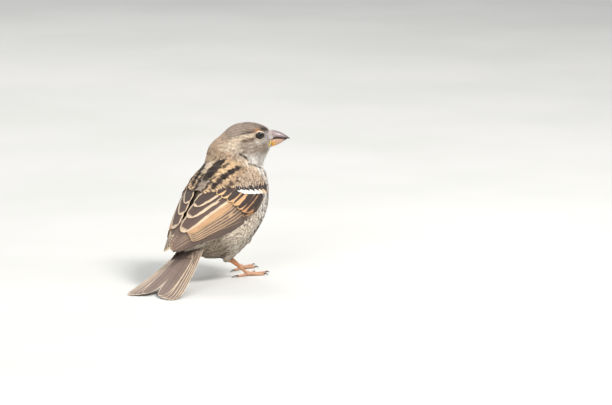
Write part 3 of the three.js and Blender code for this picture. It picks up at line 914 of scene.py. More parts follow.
m_along, m_turn = rows_over_back(
    first=22, last=-3.6, spacing=1.5, low=-56, high=57, across=4.2, reaches=in_mantle
)
m_roots = on_back(m_along, m_turn, -1)
m_length = (7.2 + 1.8 * step(np.abs(m_turn), 26, 44)) * rng.normal(1, 0.05, len(m_roots))
m_width = rng.normal(3.7, 0.25, len(m_roots))
m_streak = 0.75 * step(np.abs(m_turn + 3), 33, 38)
m_lines = back_shafts(
    m_along, m_turn, m_length, rng.normal(0, 1.2, len(m_roots)), rng.normal(0.4, 0.1, len(m_roots))
)
sleek_finish = feather_finish("sleek_feather", roughness=0.75, sheen=0.1)
feathers(
    "coat_mantle", m_lines, m_roots, m_width, barb_pattern(13), mantle_colours,
    sleek_finish, ragged=0.08, hollow=0.08, edge=0.2, streak=m_streak,
    mark_spread=0.55,
)


# --- Wing feathers -----------------------------------------------------------
# Each folded wing is built as on the bird, feather by feather: flight feathers
# lowest, the three tertials over them, then three ranks of coverts. A feather is
# a thin closed vane with a raised shaft and a paler edge.

ACROSS = np.array([-1, -0.86, -0.6, -0.3, -0.05, 0, 0.05, 0.3, 0.6, 0.86, 1])
VANE_THICK = 0.12


def vane_outline(t, length, width, point):
    """Half-width along a vane whose end is rounded over about its own width."""
    close = np.clip(point * width / length, 0.05, 0.9)
    end = np.sqrt(np.clip(1 - (np.clip((t - 1 + close) / close, 0, 1)) ** 2, 0, 1))
    return (0.62 + 0.38 * step(t, 0, 0.5)) * np.maximum(end, 0.03)


def vane_sheets(lay_at, length, inner, outer, rows, point=1.0, ragged=0.03):
    """Upper and lower face of one vane; lay_at(t, off, height) puts it in place."""
    t = np.sin(np.linspace(0, math.pi / 2, rows))
    half = vane_outline(t, length, inner + outer, point)[:, None]
    sway = 1 + rng.normal(0, ragged, (rows, 2)) * (t[:, None] > 0.1)
    side_width = np.where(ACROSS < 0, inner * sway[:, :1], outer * sway[:, 1:])
    off = ACROSS * half * side_width
    along = np.repeat(t[:, None], len(ACROSS), 1)
    ridge = 0.07 * np.exp(-((ACROSS / 0.06) ** 2)) * (1 - 0.7 * along)
    hollow = -0.004 * off**2
    upper = lay_at(along.ravel(), off.ravel(), (ridge + hollow).ravel())
    thick = VANE_THICK * (1 - 0.6 * ACROSS**2)
    lower = lay_at(along.ravel(), off.ravel(), (hollow - thick).ravel())
    vane = np.stack(np.broadcast_arrays(ACROSS, along, rng.random()), -1)
    reach = np.stack([off, along * length, np.zeros(off.shape)], -1)
    return upper, lower, vane.reshape(-1, 3), reach.reshape(-1, 3), rows


def vane_faces(rows, flipped):
    """Faces of a closed vane: upper, lower and round the rim."""
    wide = len(ACROSS)
    count = rows * wide
    k, j = np.meshgrid(np.arange(rows - 1), np.arange(wide - 1), indexing="ij")
    a = (k * wide + j).ravel()
    upper = np.stack([a, a + wide, a + wide + 1, a + 1], -1)
    lower = upper[:, ::-1] + count
    rim = np.arange(0, count, wide)[:-1]
    first = np.stack([rim, rim + count, rim + wide + count, rim + wide], -1)
    last = rim + wide - 1
    second = np.stack([last, last + wide, last + wide + count, last + count], -1)
    j = np.arange(wide - 1)
    start = np.stack([j, j + 1, j + 1 + count, j + count], -1)
    j = j + count - wide
    end = np.stack([j, j + count, j + 1 + count, j + 1], -1)
    faces = np.concatenate([upper, lower, first, second, start, end])
    return faces[:, ::-1] if flipped else faces


def vanes(name, made, material):
    """Joins closed vanes into one piece; each has its own place on the map."""
    points, faces, maps = [], [], []
    tags = {tag: [] for tag in ("vane", "reach", "middle", "edge", "marks")}
    columns = math.ceil(math.sqrt(len(made) * 2.5))
    lines = math.ceil(len(made) / columns)
    base = 0
    for n, (sheets, flipped, paint) in enumerate(made):
        upper, lower, vane, reach, rows = sheets
        middle, edge, marks = paint(vane)
        points += [upper, lower]
        faces.append(vane_faces(rows, flipped) + base)
        for tag, values in zip(tags, (vane, reach, middle, edge, marks)):
            tags[tag] += [values, values]
        cell = np.array([n % columns, n // columns], float)
        spot = np.stack([vane[:, 0] * 0.5 + 0.5, vane[:, 1]], -1)
        size = np.array([1 / columns, 1 / lines])
        for shift, share in ((0.04, 0.56), (0.66, 0.28)):
            maps.append((cell + (shift, 0.03) + spot * (share, 0.94)) * size)
        base += 2 * len(upper)
    tags = {tag: np.concatenate(values) for tag, values in tags.items()}
    return set_piece(
        name, np.concatenate(points), [np.concatenate(faces)], material, tags,
        np.concatenate(maps),
    )


def flat_paint(middle, edge, outer_edge, inner_edge, tip, pale=0.0, flash=(2, 2), skew=0.0):
    """Colours of one vane: edge widths are shares of the half-width and length, a
    flash is a stretch of its length where the outer edge widens, and skew makes the
    tip's colour reach further up the outer web."""

    def paint(vane):
        count = len(vane)
        lighter = (1 + pale * (vane[:, 1:2] - 0.6)) * np.ones((count, 3))
        marks = np.zeros((count, 3))
        flashing = (vane[:, 1] > flash[0]) & (vane[:, 1] < flash[1])
        marks[:, 0] = np.where(vane[:, 0] > 0, np.where(flashing, 0.95, outer_edge), inner_edge)
        marks[:, 1] = tip + skew * vane[:, 0]
        return middle * lighter, np.tile(edge, (count, 1)), marks

    return paint


def vane_finish(name, roughness):
    """A stiff feather: dark shaft, fine slanting barbs, and a paler rim."""
    material, wet, shader = finish(
        name, roughness=roughness, specular_ior_level=0.35, sheen_weight=0.05
    )
    rim, along, _ = wet.read("vane").parts()
    off, down, _ = wet.read("reach").parts()
    edge, tip, _ = wet.read("marks").parts()
    mottle = wet.speckle(450.0, 3.0)
    at_rim = (abs(rim) + edge + (mottle - 0.5) * 0.14).ramp(0.9, 1.08)
    at_tip = (along + tip + (mottle - 0.5) * 0.05).ramp(0.965, 1.01)
    colour = at_rim.most(at_tip).blend(wet.read("middle", "Color"), wet.read("edge", "Color"))
    slant = (down - abs(off) * 1.7) * 9.0 + (mottle - 0.5) * 7.0
    barbs = slant.sum("SINE", slant)
    colour = barbs.ramp(-0.8, 1.0, 0.0, 0.24).blend(colour, (0.05, 0.035, 0.03))
    cloud = wet.speckle(220.0, 3.0)
    colour = cloud.ramp(0.35, 0.75, 0.0, 0.2).blend(colour, (0.07, 0.05, 0.04))
    shaft = abs(rim).ramp(0.03, 0.07, 0.45, 0.0)
    colour = shaft.blend(colour, (0.045, 0.03, 0.024))
    coat_on(shader, base_color=colour)
    coat_on(shader, normal=(barbs * 0.5 + mottle).bump(0.25, 0.00012))
    return material


def wing_vane(side, root, tip, inner, outer, heights, rows, bulge=0.0, point=1.0, ragged=0.03):
    """A vane on a folded wing, from its root to its tip, each given by place along
    the trunk and degrees from the top line."""
    root, tip = np.array(root, float), np.array(tip, float)

    def centre(t):
        along, turn = (root + (tip - root) * t[:, None]).T
        return along, turn + bulge * np.sin(math.pi * t)

    def lay_at(t, off, height):
        along, turn = centre(t)
        mid = on_back(along, side * turn, 0)
        nearly = on_back(*[v * s for v, s in zip(centre(t + 0.01), (1, side))], 0)
        ahead = unit(nearly - mid)
        out = unit(on_back(along, side * turn, 1) - mid)
        flankward = -side * np.cross(out, ahead)
        along, turn = spot_on_back(mid + flankward * off[:, None])
        lift = heights[0] + (heights[1] - heights[0]) * t + height
        return on_back(along, turn, lift)

    start, end = (on_back(*spot, 0) for spot in (root * (1, side), tip * (1, side)))
    length = np.linalg.norm(start - end)
    return vane_sheets(lay_at, length, inner, outer, rows, point, ragged), side > 0


def mix(a, b, t):
    return a + (b - a) * t


COVERT_DARK, COVERT_BUFF = tint(60, 46, 42), tint(226, 186, 138)
COVERT_RUFOUS = tint(196, 138, 92)
TERTIAL_DARK, TERTIAL_EDGE = tint(88, 69, 62), tint(228, 202, 170)
FLIGHT_BROWN, FLIGHT_EDGE = tint(116, 96, 85), tint(196, 164, 130)

flight_finish = vane_finish("flight_feather", 0.62)
covert_finish = vane_finish("covert_feather", 0.72)

# Tips, from the inmost primary out: place along the trunk, degrees from the top
PRIMARY_TIPS = (
    (-41.5, 14), (-43.2, 12), (-45, 10.5), (-47.2, 10.5),
    (-49.2, 14), (-50.4, 26), (-50.9, 42), (-50.2, 59),
)
PRIMARY_INNER_WEB = {"left": 8.0, "right": 5.0}
SECONDARIES, PRIMARY_COVERTS, ALULA = 6, 5, 3
# Tertials from the outer one in: root, tip, widths of the inner and outer web, pale share
TERTIALS = (
    ((3, 53), (-37.8, 20.5), 6.0, 5.0, 0.34), ((2.5, 45), (-28.6, 13.5), 5.0, 4.8, 0.34),
    ((2, 37), (-20.8, 13), 4.6, 4.4, 0.3),
)
# Greater coverts: place along, degrees from the top, pale shares of both webs
GREATER_COVERTS = (
    (-8.3, 33, 0.55, 0.3), (-8.5, 41.5, 0.52, 0.3), (-8.2, 51.5, 0.5, 0.25),
    (-7.7, 61, 0.95, 0.6), (-7.3, 70.5, 0.5, 0.15), (-6.3, 78.5, 0.8, 0.4), (-4.6, 84.5, 0.4, 0.2),
)
MEDIAN_COVERTS = ((0.8, 53), (1.8, 58), (3.8, 63.5), (6.2, 69), (9, 75), (11.6, 80.5), (14, 86))


def in_shoulder(along, turn):
    """Where the small coverts of the shoulder grow, in front of the median ones."""
    off = abs(turn)
    places, turns = zip(*MEDIAN_COVERTS)
    behind = np.interp(off, turns, places)
    return 50 < off < 92 and along > behind + 6.6


def shoulder_colours(p):
    along, turn = spot_on_back(p)
    colour = plain(p, tint(172, 147, 126))
    colour = over(colour, tint(196, 170, 144), step(along, 11, 17))
    colour = over(colour, tint(70, 54, 46), step(np.abs(turn), 87, 91))
    return colour * 0.92, over(colour * 1.1, tint(226, 206, 182), np.full(len(p), 0.3))


s_along, s_turn = rows_over_back(
    first=23, last=6, spacing=1.4, low=-94, high=95, across=4.0, reaches=in_shoulder
)
s_roots = on_back(s_along, s_turn, -1)
s_length, s_width = rng.normal(4.8, 0.25, len(s_roots)), rng.normal(2.9, 0.2, len(s_roots))
s_lines = back_shafts(
    s_along, s_turn, s_length, rng.normal(0, 1.2, len(s_roots)), rng.normal(0.5, 0.08, len(s_roots))
)
feathers(
    "coat_shoulders", s_lines, s_roots, s_width, barb_pattern(10), shoulder_colours,
    sleek_finish, ragged=0.08, hollow=0.1, edge=0.3, streak=0.25,
)

for name, side in (("left", 1), ("right", -1)):
    # the left wing lies a little nearer the top line and under the edge of the right
    inward, under = (-7.0, -0.22) if side > 0 else (0.0, 0.0)
    primaries = []
    for i, (along, turn) in enumerate(PRIMARY_TIPS):
        share = i / (len(PRIMARY_TIPS) - 1)
        root = (-1.0 - 0.6 * i, mix(84, 98, share))
        tip = (along, turn - 7 - 11 * share) if side > 0 else (along + 1.2 * share, turn)
        edge = tint(232, 210, 176) if side > 0 else mix(tint(160, 136, 116), FLIGHT_EDGE, share)
        # on the right wing the outer primaries' edges are darkened: painted shadow along the wing's
        # lower edge over the belly
        if side < 0:
            edge = mix(edge, tint(74, 60, 54), step(i, 4.6, 6.4))
        fringe = 0.14 if side > 0 else 0.02
        paint = flat_paint(
            FLIGHT_BROWN * rng.normal(1, 0.05), edge, outer_edge=mix(fringe, 0.3, share),
            inner_edge=0.02, tip=mix(fringe * 0.1, 0.016, share), pale=0.3,
        )
        heights = (-0.7 - 0.03 * i + under, -0.38 - 0.06 * i + under)
        primaries.append((
            *wing_vane(side, root, tip, PRIMARY_INNER_WEB[name], mix(2.6, 1.9, share), heights,
                       rows=26, bulge=mix(7, 15, share), point=1.2, ragged=0.02),
            paint,
        ))
    secondaries = []
    for i in range(SECONDARIES):
        share = i / (SECONDARIES - 1)
        root = (1.0 - 0.4 * i, mix(58, 82, share))
        tip = (mix(-36.5, -38.8, share), mix(34, 62, share) + inward * (1 - share))
        middle, edge, outer_edge = FLIGHT_BROWN * rng.normal(0.92, 0.05), FLIGHT_EDGE, 0.3
        if i == 0:
            edge, outer_edge = tint(204, 160, 118), 0.97
        flash = (0.24 + 0.02 * i, 0.36) if i > 2 else (2, 2)
        paint = flat_paint(middle, edge, outer_edge, inner_edge=0.03, tip=0.015, pale=0.25, flash=flash)
        heights = (-0.18 - 0.05 * i + under, 0.24 - 0.1 * i + under)
        outer = 4.3 if i == 0 else 3.2
        secondaries.append((
            *wing_vane(side, root, tip, 4.6, outer, heights, rows=30, bulge=2.5, point=0.9), paint
        ))
    tertials = []
    for i, (root, tip, inner, outer, pale) in enumerate(TERTIALS):
        tip = (tip[0] + (1.0 if side > 0 else 0), tip[1] + inward)
        paint = flat_paint(
            TERTIAL_DARK * mix(1.2, 0.72, i / 2), TERTIAL_EDGE,
            outer_edge=pale, inner_edge=0.19, tip=0.05, pale=0.5,
        )
        heights = (0.0 + under, 0.34 + 0.2 * i + under)
        tertials.append((
            *wing_vane(side, root, tip, inner, outer, heights, rows=24, bulge=-1.0, point=1.25,
                       ragged=0.025),
            paint,
        ))
    piece = vanes(f"primaries_{name}", primaries, flight_finish)
    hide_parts(f"wing_{name}_primaries")
    piece = vanes(f"tertials_{name}", secondaries + tertials, flight_finish)
    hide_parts(f"wing_{name}_tertials")

    coverts = []
    for i in range(PRIMARY_COVERTS):  # along the edge below the greater coverts
        share = i / (PRIMARY_COVERTS - 1)
        root, tip = (7 - 0.4 * i, 90 + 1.5 * i), (mix(-7.5, -2.0, share), mix(86, 95, share))
        paint = flat_paint(
            tint(66, 52, 44), tint(196, 146, 100), outer_edge=0.2, inner_edge=0.05, tip=0.02
        )
        coverts.append((*wing_vane(side, root, tip, 2.2, 1.8, (-0.2, 0.14 - 0.05 * i), 24), paint))
    for i, (along, turn, outer_pale, inner_pale) in enumerate(GREATER_COVERTS):
        share = i / (len(GREATER_COVERTS) - 1)
        tip = (along, turn + inward * (1 - share))
        root = (mix(4.5, 11, share), tip[1] + mix(7, 3, share))
        edge = mix(COVERT_BUFF, COVERT_RUFOUS, share**1.5)
        dark = COVERT_DARK * rng.normal(1, 0.08)
        paint = flat_paint(dark, edge, outer_pale, inner_pale, tip=0.03, pale=0.1)
        heights = (0.15 - 0.03 * i, 0.78 - 0.07 * i)
        coverts.append((
            *wing_vane(side, root, tip, 3.2, 3.7, heights, rows=36, point=1.3, ragged=0.035), paint
        ))
    for i in range(ALULA):
        share = i / (ALULA - 1)
        root, tip = (13, 91 + i), (mix(1.5, 0.0, share), mix(90, 95, share))
        paint = flat_paint(
            tint(44, 34, 30), tint(150, 118, 90), outer_edge=0.1, inner_edge=0.04, tip=0.015
        )
        coverts.append((*wing_vane(side, root, tip, 2.7, 2.3, (0.0, 0.36 - 0.08 * i), 24), paint))
    for i, tip in enumerate(MEDIAN_COVERTS):  # black before their white ends
        root = (tip[0] + 7, tip[1] + 2)
        white = mix(tint(248, 244, 238), tint(228, 198, 160), step(i, 4.6, 5.4))
        paint = flat_paint(
            tint(50, 40, 36), white, outer_edge=0.1, inner_edge=0.06, tip=0.26 if i else 0.02,
            skew=0.3,
        )
        coverts.append((
            *wing_vane(side, root, tip, 4.3, 4.2, (0.2, 0.8), rows=30, point=0.75, ragged=0.05),
            paint,
        ))
    piece = vanes(f"coverts_{name}", coverts, covert_finish)
    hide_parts(f"wing_{name}_coverts")


# --- Tail --------------------------------------------------------------------
# Twelve tail feathers in two fans of six with a notch between them, the middle
# pair on top, their ends resting on the floor.

TAIL_TURN, TAIL_REACH, TAIL_DROOP = math.radians(10), 54.5, 1.4
TAIL_ROOT = np.array([-20.5, 0, 24.8])
tail_back = np.array([-math.cos(TAIL_TURN), -math.sin(TAIL_TURN), 0])
tail_left = np.array([-math.sin(TAIL_TURN), math.cos(TAIL_TURN), 0])


def on_tail(share, off, height):
    """A point on the tail: share of its length, place to its left, and height."""
    fall = np.clip(1 - share, 0, 1) ** TAIL_DROOP
    wide = 5 + 14 * np.clip(share, 0, 1) ** 1.15
    lift = TAIL_ROOT[2] * fall + 0.9 * fall * (1 - (off / wide) ** 2) + height
    at = TAIL_ROOT * (1, 1, 0) + np.outer(share * TAIL_REACH, tail_back)
    return at + np.outer(off, tail_left) + np.outer(lift, (0, 0, 1))


TAIL_BROWN, TAIL_EDGE = tint(134, 114, 103), tint(218, 196, 170)
# Tail feathers from the middle one out: place of its end beside the middle, share of the length
TAIL_FEATHERS = (
    (6.0, 0.95), (9.4, 0.985), (12.0, 1.0), (14.0, 0.995), (15.6, 0.975), (17.0, 0.94),
)
tail_finish = vane_finish("tail_feather", 0.66)
for name, side in (("left", 1), ("right", -1)):
    fan = []
    for i, (end, reach) in enumerate(TAIL_FEATHERS):
        start = 0.8 + 0.75 * i
        step_down = (1.75 - 0.3 * i, 0.95 - 0.165 * i)
        inner, outer = (4.6, 4.2) if i == 0 else (5.0, 2.2)

        def lay_at(t, off, height, start=start, end=end, reach=reach, step_down=step_down):
            share = t * reach
            middle = start + (end - start) * np.clip(share, 0, 1) ** 1.15
            lift = step_down[0] + (step_down[1] - step_down[0]) * t + height
            return on_tail(share, side * (middle + off), np.maximum(lift, 0.03))

        sheets = vane_sheets(lay_at, TAIL_REACH * reach, inner, outer, 40, 1.5, 0.02)
        paint = flat_paint(
            TAIL_BROWN * rng.normal(1, 0.03), TAIL_EDGE, outer_edge=0.24 if i else 0.14,
            inner_edge=0.14, tip=0.012, pale=-0.3,
        )
        fan.append((sheets, side < 0, paint))
    piece = vanes(f"rectrices_{name}", fan, tail_finish)
    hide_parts(f"tail_{name}")

# Coverts wrapped round the root of the tail: brown above, whitish below
sleeve_at, sleeve_turn = [], []
for row, share in enumerate((-0.06, -0.01, 0.04, 0.09, 0.14)):
    for turn in np.arange(0.11 * (row % 2), 2 * math.pi, 0.22):
        sleeve_at.append(share)
        sleeve_turn.append(turn)
sleeve_at = np.array(sleeve_at)
sleeve_turn = np.array(sleeve_turn) + rng.normal(0, 0.05, len(sleeve_at))


def on_sleeve(share, turn, height):
    """A point on the sleeve of coverts that closes onto the tail's root."""
    wide = 5 + 14 * np.clip(share, 0, 1) ** 1.15
    deep = np.interp(share, (-0.1, 0.1, 0.35), (4.6, 3.2, 1.1)) + height
    off = (wide + np.interp(share, (0, 0.35), (1.6, -1.0)) + height) * np.cos(turn)
    return on_tail(share, off, 0.4 + deep * np.sin(turn))


def sleeve_colours(p):
    height = (p - TAIL_ROOT) @ (0, 0, 1) + (p - TAIL_ROOT) @ -tail_back * -0.75
    colour = plain(p, tint(214, 200, 184))
    colour = over(colour, tint(156, 136, 118), step(height, 0, 4))
    return colour * 0.93, colour * 1.03


t_length = rng.normal(9.5, 0.7, len(sleeve_at))
sleeve = []
for i in range(STEPS):
    share = sleeve_at + t_length / TAIL_REACH * i / (STEPS - 1)
    near = on_sleeve(share, sleeve_turn, 0.5 * i / (STEPS - 1) - 0.5)
    sleeve.append((near, unit(on_sleeve(share, sleeve_turn, 1.5) - near)))
t_lines = joined(sleeve)
feathers(
    "coat_tail_root", t_lines, t_lines[0][:, 0],
    rng.normal(3.2, 0.2, len(sleeve_at)), barb_pattern(11), sleeve_colours,
    sleek_finish, ragged=0.1,
)


# --- Bill --------------------------------------------------------------------
# Two mandibles of horn, both rounded outside and hollowed along the cut. The
# upper one is ridged, has the nostrils at its root and overhangs the lower.

# Mandibles: place along, height above and below, half-width
UPPER_BILL = (
    (10, 3.2, -3.7, 3), (12.4, 4, -2.3, 3.9), (14.3, 4.3, -0.7, 3.9), (17.1, 3.9, 0, 3.3),
    (20.5, 2.6, -0.3, 2.3), (23.5, 0.8, -0.8, 1.2), (25.4, -0.7, -1.1, 0.35),
)
LOWER_BILL = (
    (10, -3.8, -5.6, 2.8), (12.4, -2.4, -5.8, 3.6), (14.3, -0.8, -5.6, 3.6),
    (17.1, -0.1, -4.8, 3), (20.2, -0.4, -3.5, 2), (22.4, -0.7, -2.1, 1.1),
    (23.8, -0.95, -1.4, 0.35),
)
NOSTRIL = (15.0, 2.0)  # along and above, on either side of the upper bill


def skin_rings(rings, loop=False):
    """Faces over rings of points, with a map place for each of their corners. The
    last two points close the ends; a loop is closed on itself instead."""
    rows, columns = rings.shape[:2]
    k, j = np.meshgrid(np.arange(rows if loop else rows - 1), np.arange(columns), indexing="ij")
    k, j = k.ravel(), j.ravel()
    ahead, beside = (k + 1) % rows * columns, (j + 1) % columns
    quads = np.stack([k * columns + j, k * columns + beside, ahead + beside, ahead + j], -1)
    u = np.stack([j, j + 1, j + 1, j], -1) / columns
    v = np.stack([k, k, k + 1, k + 1], -1) / rows
    points, tris, tri_map = rings.reshape(-1, 3), np.zeros((0, 3), int), np.zeros((0, 3, 2))
    if not loop:
        count, last = len(points), (rows - 1) * columns
        points = np.concatenate([points, [rings[0].mean(0), rings[-1].mean(0)]])
        j = np.arange(columns)
        beside = (j + 1) % columns
        first = np.stack([beside, j, np.full(columns, count)], -1)
        second = np.stack([last + j, last + beside, np.full(columns, count + 1)], -1)
        tris = np.concatenate([first, second])
        low = np.stack([np.stack([j + 1, j, j + 0.5], -1) / columns, np.zeros((columns, 3))], -1)
        high = np.stack([np.stack([j, j + 1, j + 0.5], -1) / columns, np.ones((columns, 3))], -1)
        tri_map = np.concatenate([low, high])
    a, b, c = points[quads[:, 0]], points[quads[:, 1]], points[quads[:, 2]]
    if (np.cross(a - points.mean(0), b - points.mean(0)) * (c - points.mean(0))).sum() < 0:
        quads, tris = quads[:, ::-1], tris[:, ::-1]
        u, v, tri_map = u[:, ::-1], v[:, ::-1], tri_map[:, ::-1]
    return points, quads, tris, np.stack([u, v], -1), tri_map


def horn_piece(name, shells, colours, material):
    """Joins closed shells into one piece, coloured by place, each with its own map."""
    points, quads, tris, quad_map, tri_map = [], [], [], [], []
    side = math.ceil(math.sqrt(len(shells)))
    base = 0
    for n, rings in enumerate(shells):
        loop = isinstance(rings, tuple)
        made = skin_rings(rings[0] if loop else rings, loop)
        corner = np.array([n % side, n // side]) + 0.03
        points.append(made[0])
        quads.append(made[1] + base)
        tris.append(made[2] + base)
        quad_map.append((corner + 0.94 * made[3]).reshape(-1, 2) / side)
        tri_map.append((corner + 0.94 * made[4]).reshape(-1, 2) / side)
        base += len(made[0])
    points = np.concatenate(points)
    faces = [np.concatenate(quads), np.concatenate(tris)]
    bake_map = np.concatenate(quad_map + tri_map)
    return set_piece(
        name, points, [f for f in faces if len(f)], material, {"middle": colours(points)},
        bake_map,
    )


def horn_finish(name, roughness, streak_scale, coat=0.0, relief=0.3):
    """Horn or scaled skin: its own colour with fine streaks and a soft shine."""
    material, wet, shader = finish(
        name, roughness=roughness, coat_weight=coat, coat_roughness=0.25,
        specular_ior_level=0.45,
    )
    fine = wet.speckle(streak_scale, 4.0)
    broad = wet.speckle(streak_scale * 0.22, 2.0)
    own = wet.read("middle", "Color")
    colour = fine.ramp(0.35, 0.75, 0.0, 0.3).blend(own, (0.05, 0.03, 0.025))
    colour = broad.ramp(0.45, 0.75, 0.0, 0.14).blend(colour, (0.75, 0.6, 0.5))
    coat_on(shader, base_color=colour, roughness=fine.ramp(0.2, 0.8, roughness, roughness + 0.2))
    coat_on(shader, normal=fine.bump(relief, 0.00015))
    return material


def mandible(rows, upper):
    """Rings of one mandible from its root to its tip."""
    along = np.linspace(rows[0][0], rows[-1][0], 44)
    outer, inner = (eased(rows, along, 1 if upper else 2), eased(rows, along, 2 if upper else 1))
    tucked = 1 - 0.3 * step(along, 14.6, 12.6)
    outer = mix(inner, outer, tucked)
    half = eased(rows, along, 3) * (1.0 if upper else 0.97) * tucked
    turn = np.linspace(-math.pi / 2, math.pi / 2, 25)
    across = np.concatenate([np.sin(turn), np.sin(turn[-2:0:-2])])
    bulge = np.concatenate([np.cos(turn) ** 0.9, 0.22 * np.cos(turn[-2:0:-2])])
    ridge = 0.05 * np.exp(-((across / 0.12) ** 2)) * np.concatenate([np.ones(25), np.zeros(12)])
    above = inner[:, None] + (outer - inner)[:, None] * (bulge + (ridge if upper else 0))
    beside = half[:, None] * np.sign(across) * np.abs(across) ** 0.95
    if upper:
        pit = ((along[:, None] - NOSTRIL[0]) / 0.75) ** 2 + ((above - NOSTRIL[1]) / 0.42) ** 2
        beside = beside * (1 - 0.3 * np.exp(-pit))
    return head.place(along[:, None] + 0 * above, above, beside)


def bill_colours(p):
    along, above, beside = head.read(p).T
    cut = eased(UPPER_BILL, along, 2)
    mauve = plain(p, tint(140, 120, 122))
    mauve = over(mauve, tint(104, 88, 92), step(along, 17, 24))
    mauve = over(mauve, tint(96, 80, 82), band(np.abs(beside), 0, 0.7) * 0.7)
    # dark along the cutting edge near the gape: painted shade of the gap between the mandibles
    dark = 1.2 * step(above - cut, 0.95, 0.45) * step(along, 12.5, 14)
    mauve = over(mauve, tint(34, 22, 20), dark)
    # the nostril painted dark: painted shade of its opening
    pit = np.hypot((along - NOSTRIL[0]) / 0.8, (above - NOSTRIL[1]) / 0.5)
    return over(mauve, tint(30, 20, 18), step(pit, 1.1, 0.5))


def lower_bill_colours(p):
    along, above, beside = head.read(p).T
    colour = plain(p, tint(204, 164, 138))
    colour = over(colour, tint(130, 100, 92), step(along, 19, 23.5))
    base = step(along, 17.4, 16.0) * step(above, -1.5, -2.6)
    colour = over(colour, tint(232, 164, 48), base)
    corner = step(np.abs(beside), 3.0, 3.4) * step(along, 15.0, 14.2)
    colour = over(colour, tint(226, 190, 70), corner)
    # dark along the upper edge near the gape: painted shade of the gap under the upper mandible
    cut = eased(LOWER_BILL, along, 1)
    dark = step(cut - above, 0.55, 0.15) * step(along, 13.5, 15)
    return over(colour, tint(44, 30, 26), dark)


bill_finish = horn_finish("bill_horn", roughness=0.34, streak_scale=900.0, coat=0.3, relief=0.2)
upper_bill = horn_piece(
    "bill_top", [mandible(UPPER_BILL, True)], bill_colours, bill_finish
)
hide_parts("bill_upper")
lower_shells = [mandible(LOWER_BILL, False)]


def pipe(line, radii, across, columns=16, shape=None):
    """Rings round a line; across is any direction square to it, shape(turn, share)
    gives what to add to the radius at a turn from that direction."""
    ahead = unit(np.gradient(line, axis=0))
    side = unit(across - (ahead * across).sum(-1, keepdims=True) * ahead)
    third = np.cross(ahead, side)
    turn = np.linspace(0, 2 * math.pi, columns, endpoint=False)
    share = np.linspace(0, 1, len(line))
    radius = np.asarray(radii, float)[:, None] * np.ones(columns)
    if shape is not None:
        radius = radius + shape(turn[None, :], share[:, None])
    return line[:, None] + radius[..., None] * (
        np.cos(turn)[None, :, None] * side[:, None] + np.sin(turn)[None, :, None] * third[:, None]
    )


for side in (-1, 1):  # the soft yellow corner of the mouth
    t = np.linspace(0, 1, 18)
    line = head.place(14.7 - 3.6 * t, -0.55 - 3.3 * t**0.9, side * (3.9 - 0.35 * t))
    line = mix(line, settle(line, 0.12), step(t, 0.1, 0.35)[:, None])
    lower_shells.append(pipe(line, 0.4 * np.sin(math.pi * (0.06 + 0.88 * t)) ** 0.6, head.rows[2]))
lower_bill = horn_piece(
    "bill_bottom", lower_shells, lower_bill_colours, bill_finish
)
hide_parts("bill_lower")


# --- Feathers at the bill ----------------------------------------------------
# Short feathers that grow round the root of the bill and lie forward over it,
# so that horn passes into plumage without a step.

b_rows, b_turn = [], []
for row, along in enumerate((12.2, 12.8, 13.4)):
    for turn in np.arange(-math.pi + 0.07 * (row % 2), math.pi, 0.14):
        b_rows.append(along)
        b_turn.append(turn)
b_rows, b_turn = np.array(b_rows), np.array(b_turn) + rng.normal(0, 0.03, len(b_turn))


def on_bill(along, turn, height):
    """A point round the bill, turn radians from its ridge."""
    upper = np.cos(turn) > 0
    edge = np.where(upper, eased(UPPER_BILL, along, 1), eased(LOWER_BILL, along, 2))
    half = np.where(upper, eased(UPPER_BILL, along, 3), eased(LOWER_BILL, along, 3))
    cut = -0.9
    return head.place(
        along, cut + (np.abs(edge - cut) + height) * np.cos(turn), (half + height) * np.sin(turn)
    )


b_roots = settle(on_bill(b_rows, b_turn, 0.0), -0.6)
b_length = rng.normal(2.3, 0.25, len(b_roots)) - 0.9 * step(np.abs(b_turn), 1.3, 1.9)
line = []
for i in range(STEPS):
    t = i / (STEPS - 1)
    near = on_bill(b_rows + b_length * t, b_turn, 0.12)
    mid = mix(b_roots, near, min(t * 1.6, 1))
    line.append((mid, unit(on_bill(b_rows + b_length * t, b_turn, 1) - near)))
feathers(
    "coat_bill_root", joined(line), b_roots, np.full(len(b_roots), 0.75),
    barb_pattern(5), markings, soft_finish, ragged=0.1,
)


# --- Eyes --------------------------------------------------------------------
# Glass-like eyes, dark brown round a black pupil, each in a ring of bare lids
# that stand a little proud of the eyeball.

EYE_LOOKS = 12.0  # degrees that the eye's middle looks forward of straight beside
EYE_POLAR = np.linspace(0.02, 2.5, 30)  # angles from the eye's middle to its back
EYE_COLUMNS, LID_COLUMNS, CORNEA_RISE = 48, 72, 0.14
# Section of the lids: angle from the eye's middle, distance from its centre
LID_SECTION = (
    (0.84, 3.0), (0.80, 3.1), (0.81, 3.22), (0.87, 3.3), (0.95, 3.26), (1.02, 3.16), (1.15, 3.14),
    (1.35, 3.08), (1.6, 3.02), (1.6, 2.8), (1.3, 2.85), (1.0, 2.9),
)


def eye_axes(side):
    angle = math.radians(EYE_LOOKS)
    out = math.sin(angle) * head.rows[0] + side * math.cos(angle) * head.rows[2]
    up = head.rows[1]
    return head.place(EYE_ALONG, EYE_ABOVE, side * EYE_BESIDE), out, up, np.cross(out, up)


def revolved(axes, radius, polar, turn):
    """Points about an eye: angle from its middle, and turn about that."""
    at, out, up, back_way = axes
    return (
        at
        + (radius * np.cos(polar) * np.ones_like(turn))[..., None] * out
        + (radius * np.sin(polar) * np.cos(turn))[..., None] * up
        + (radius * np.sin(polar) * np.sin(turn))[..., None] * back_way
    )


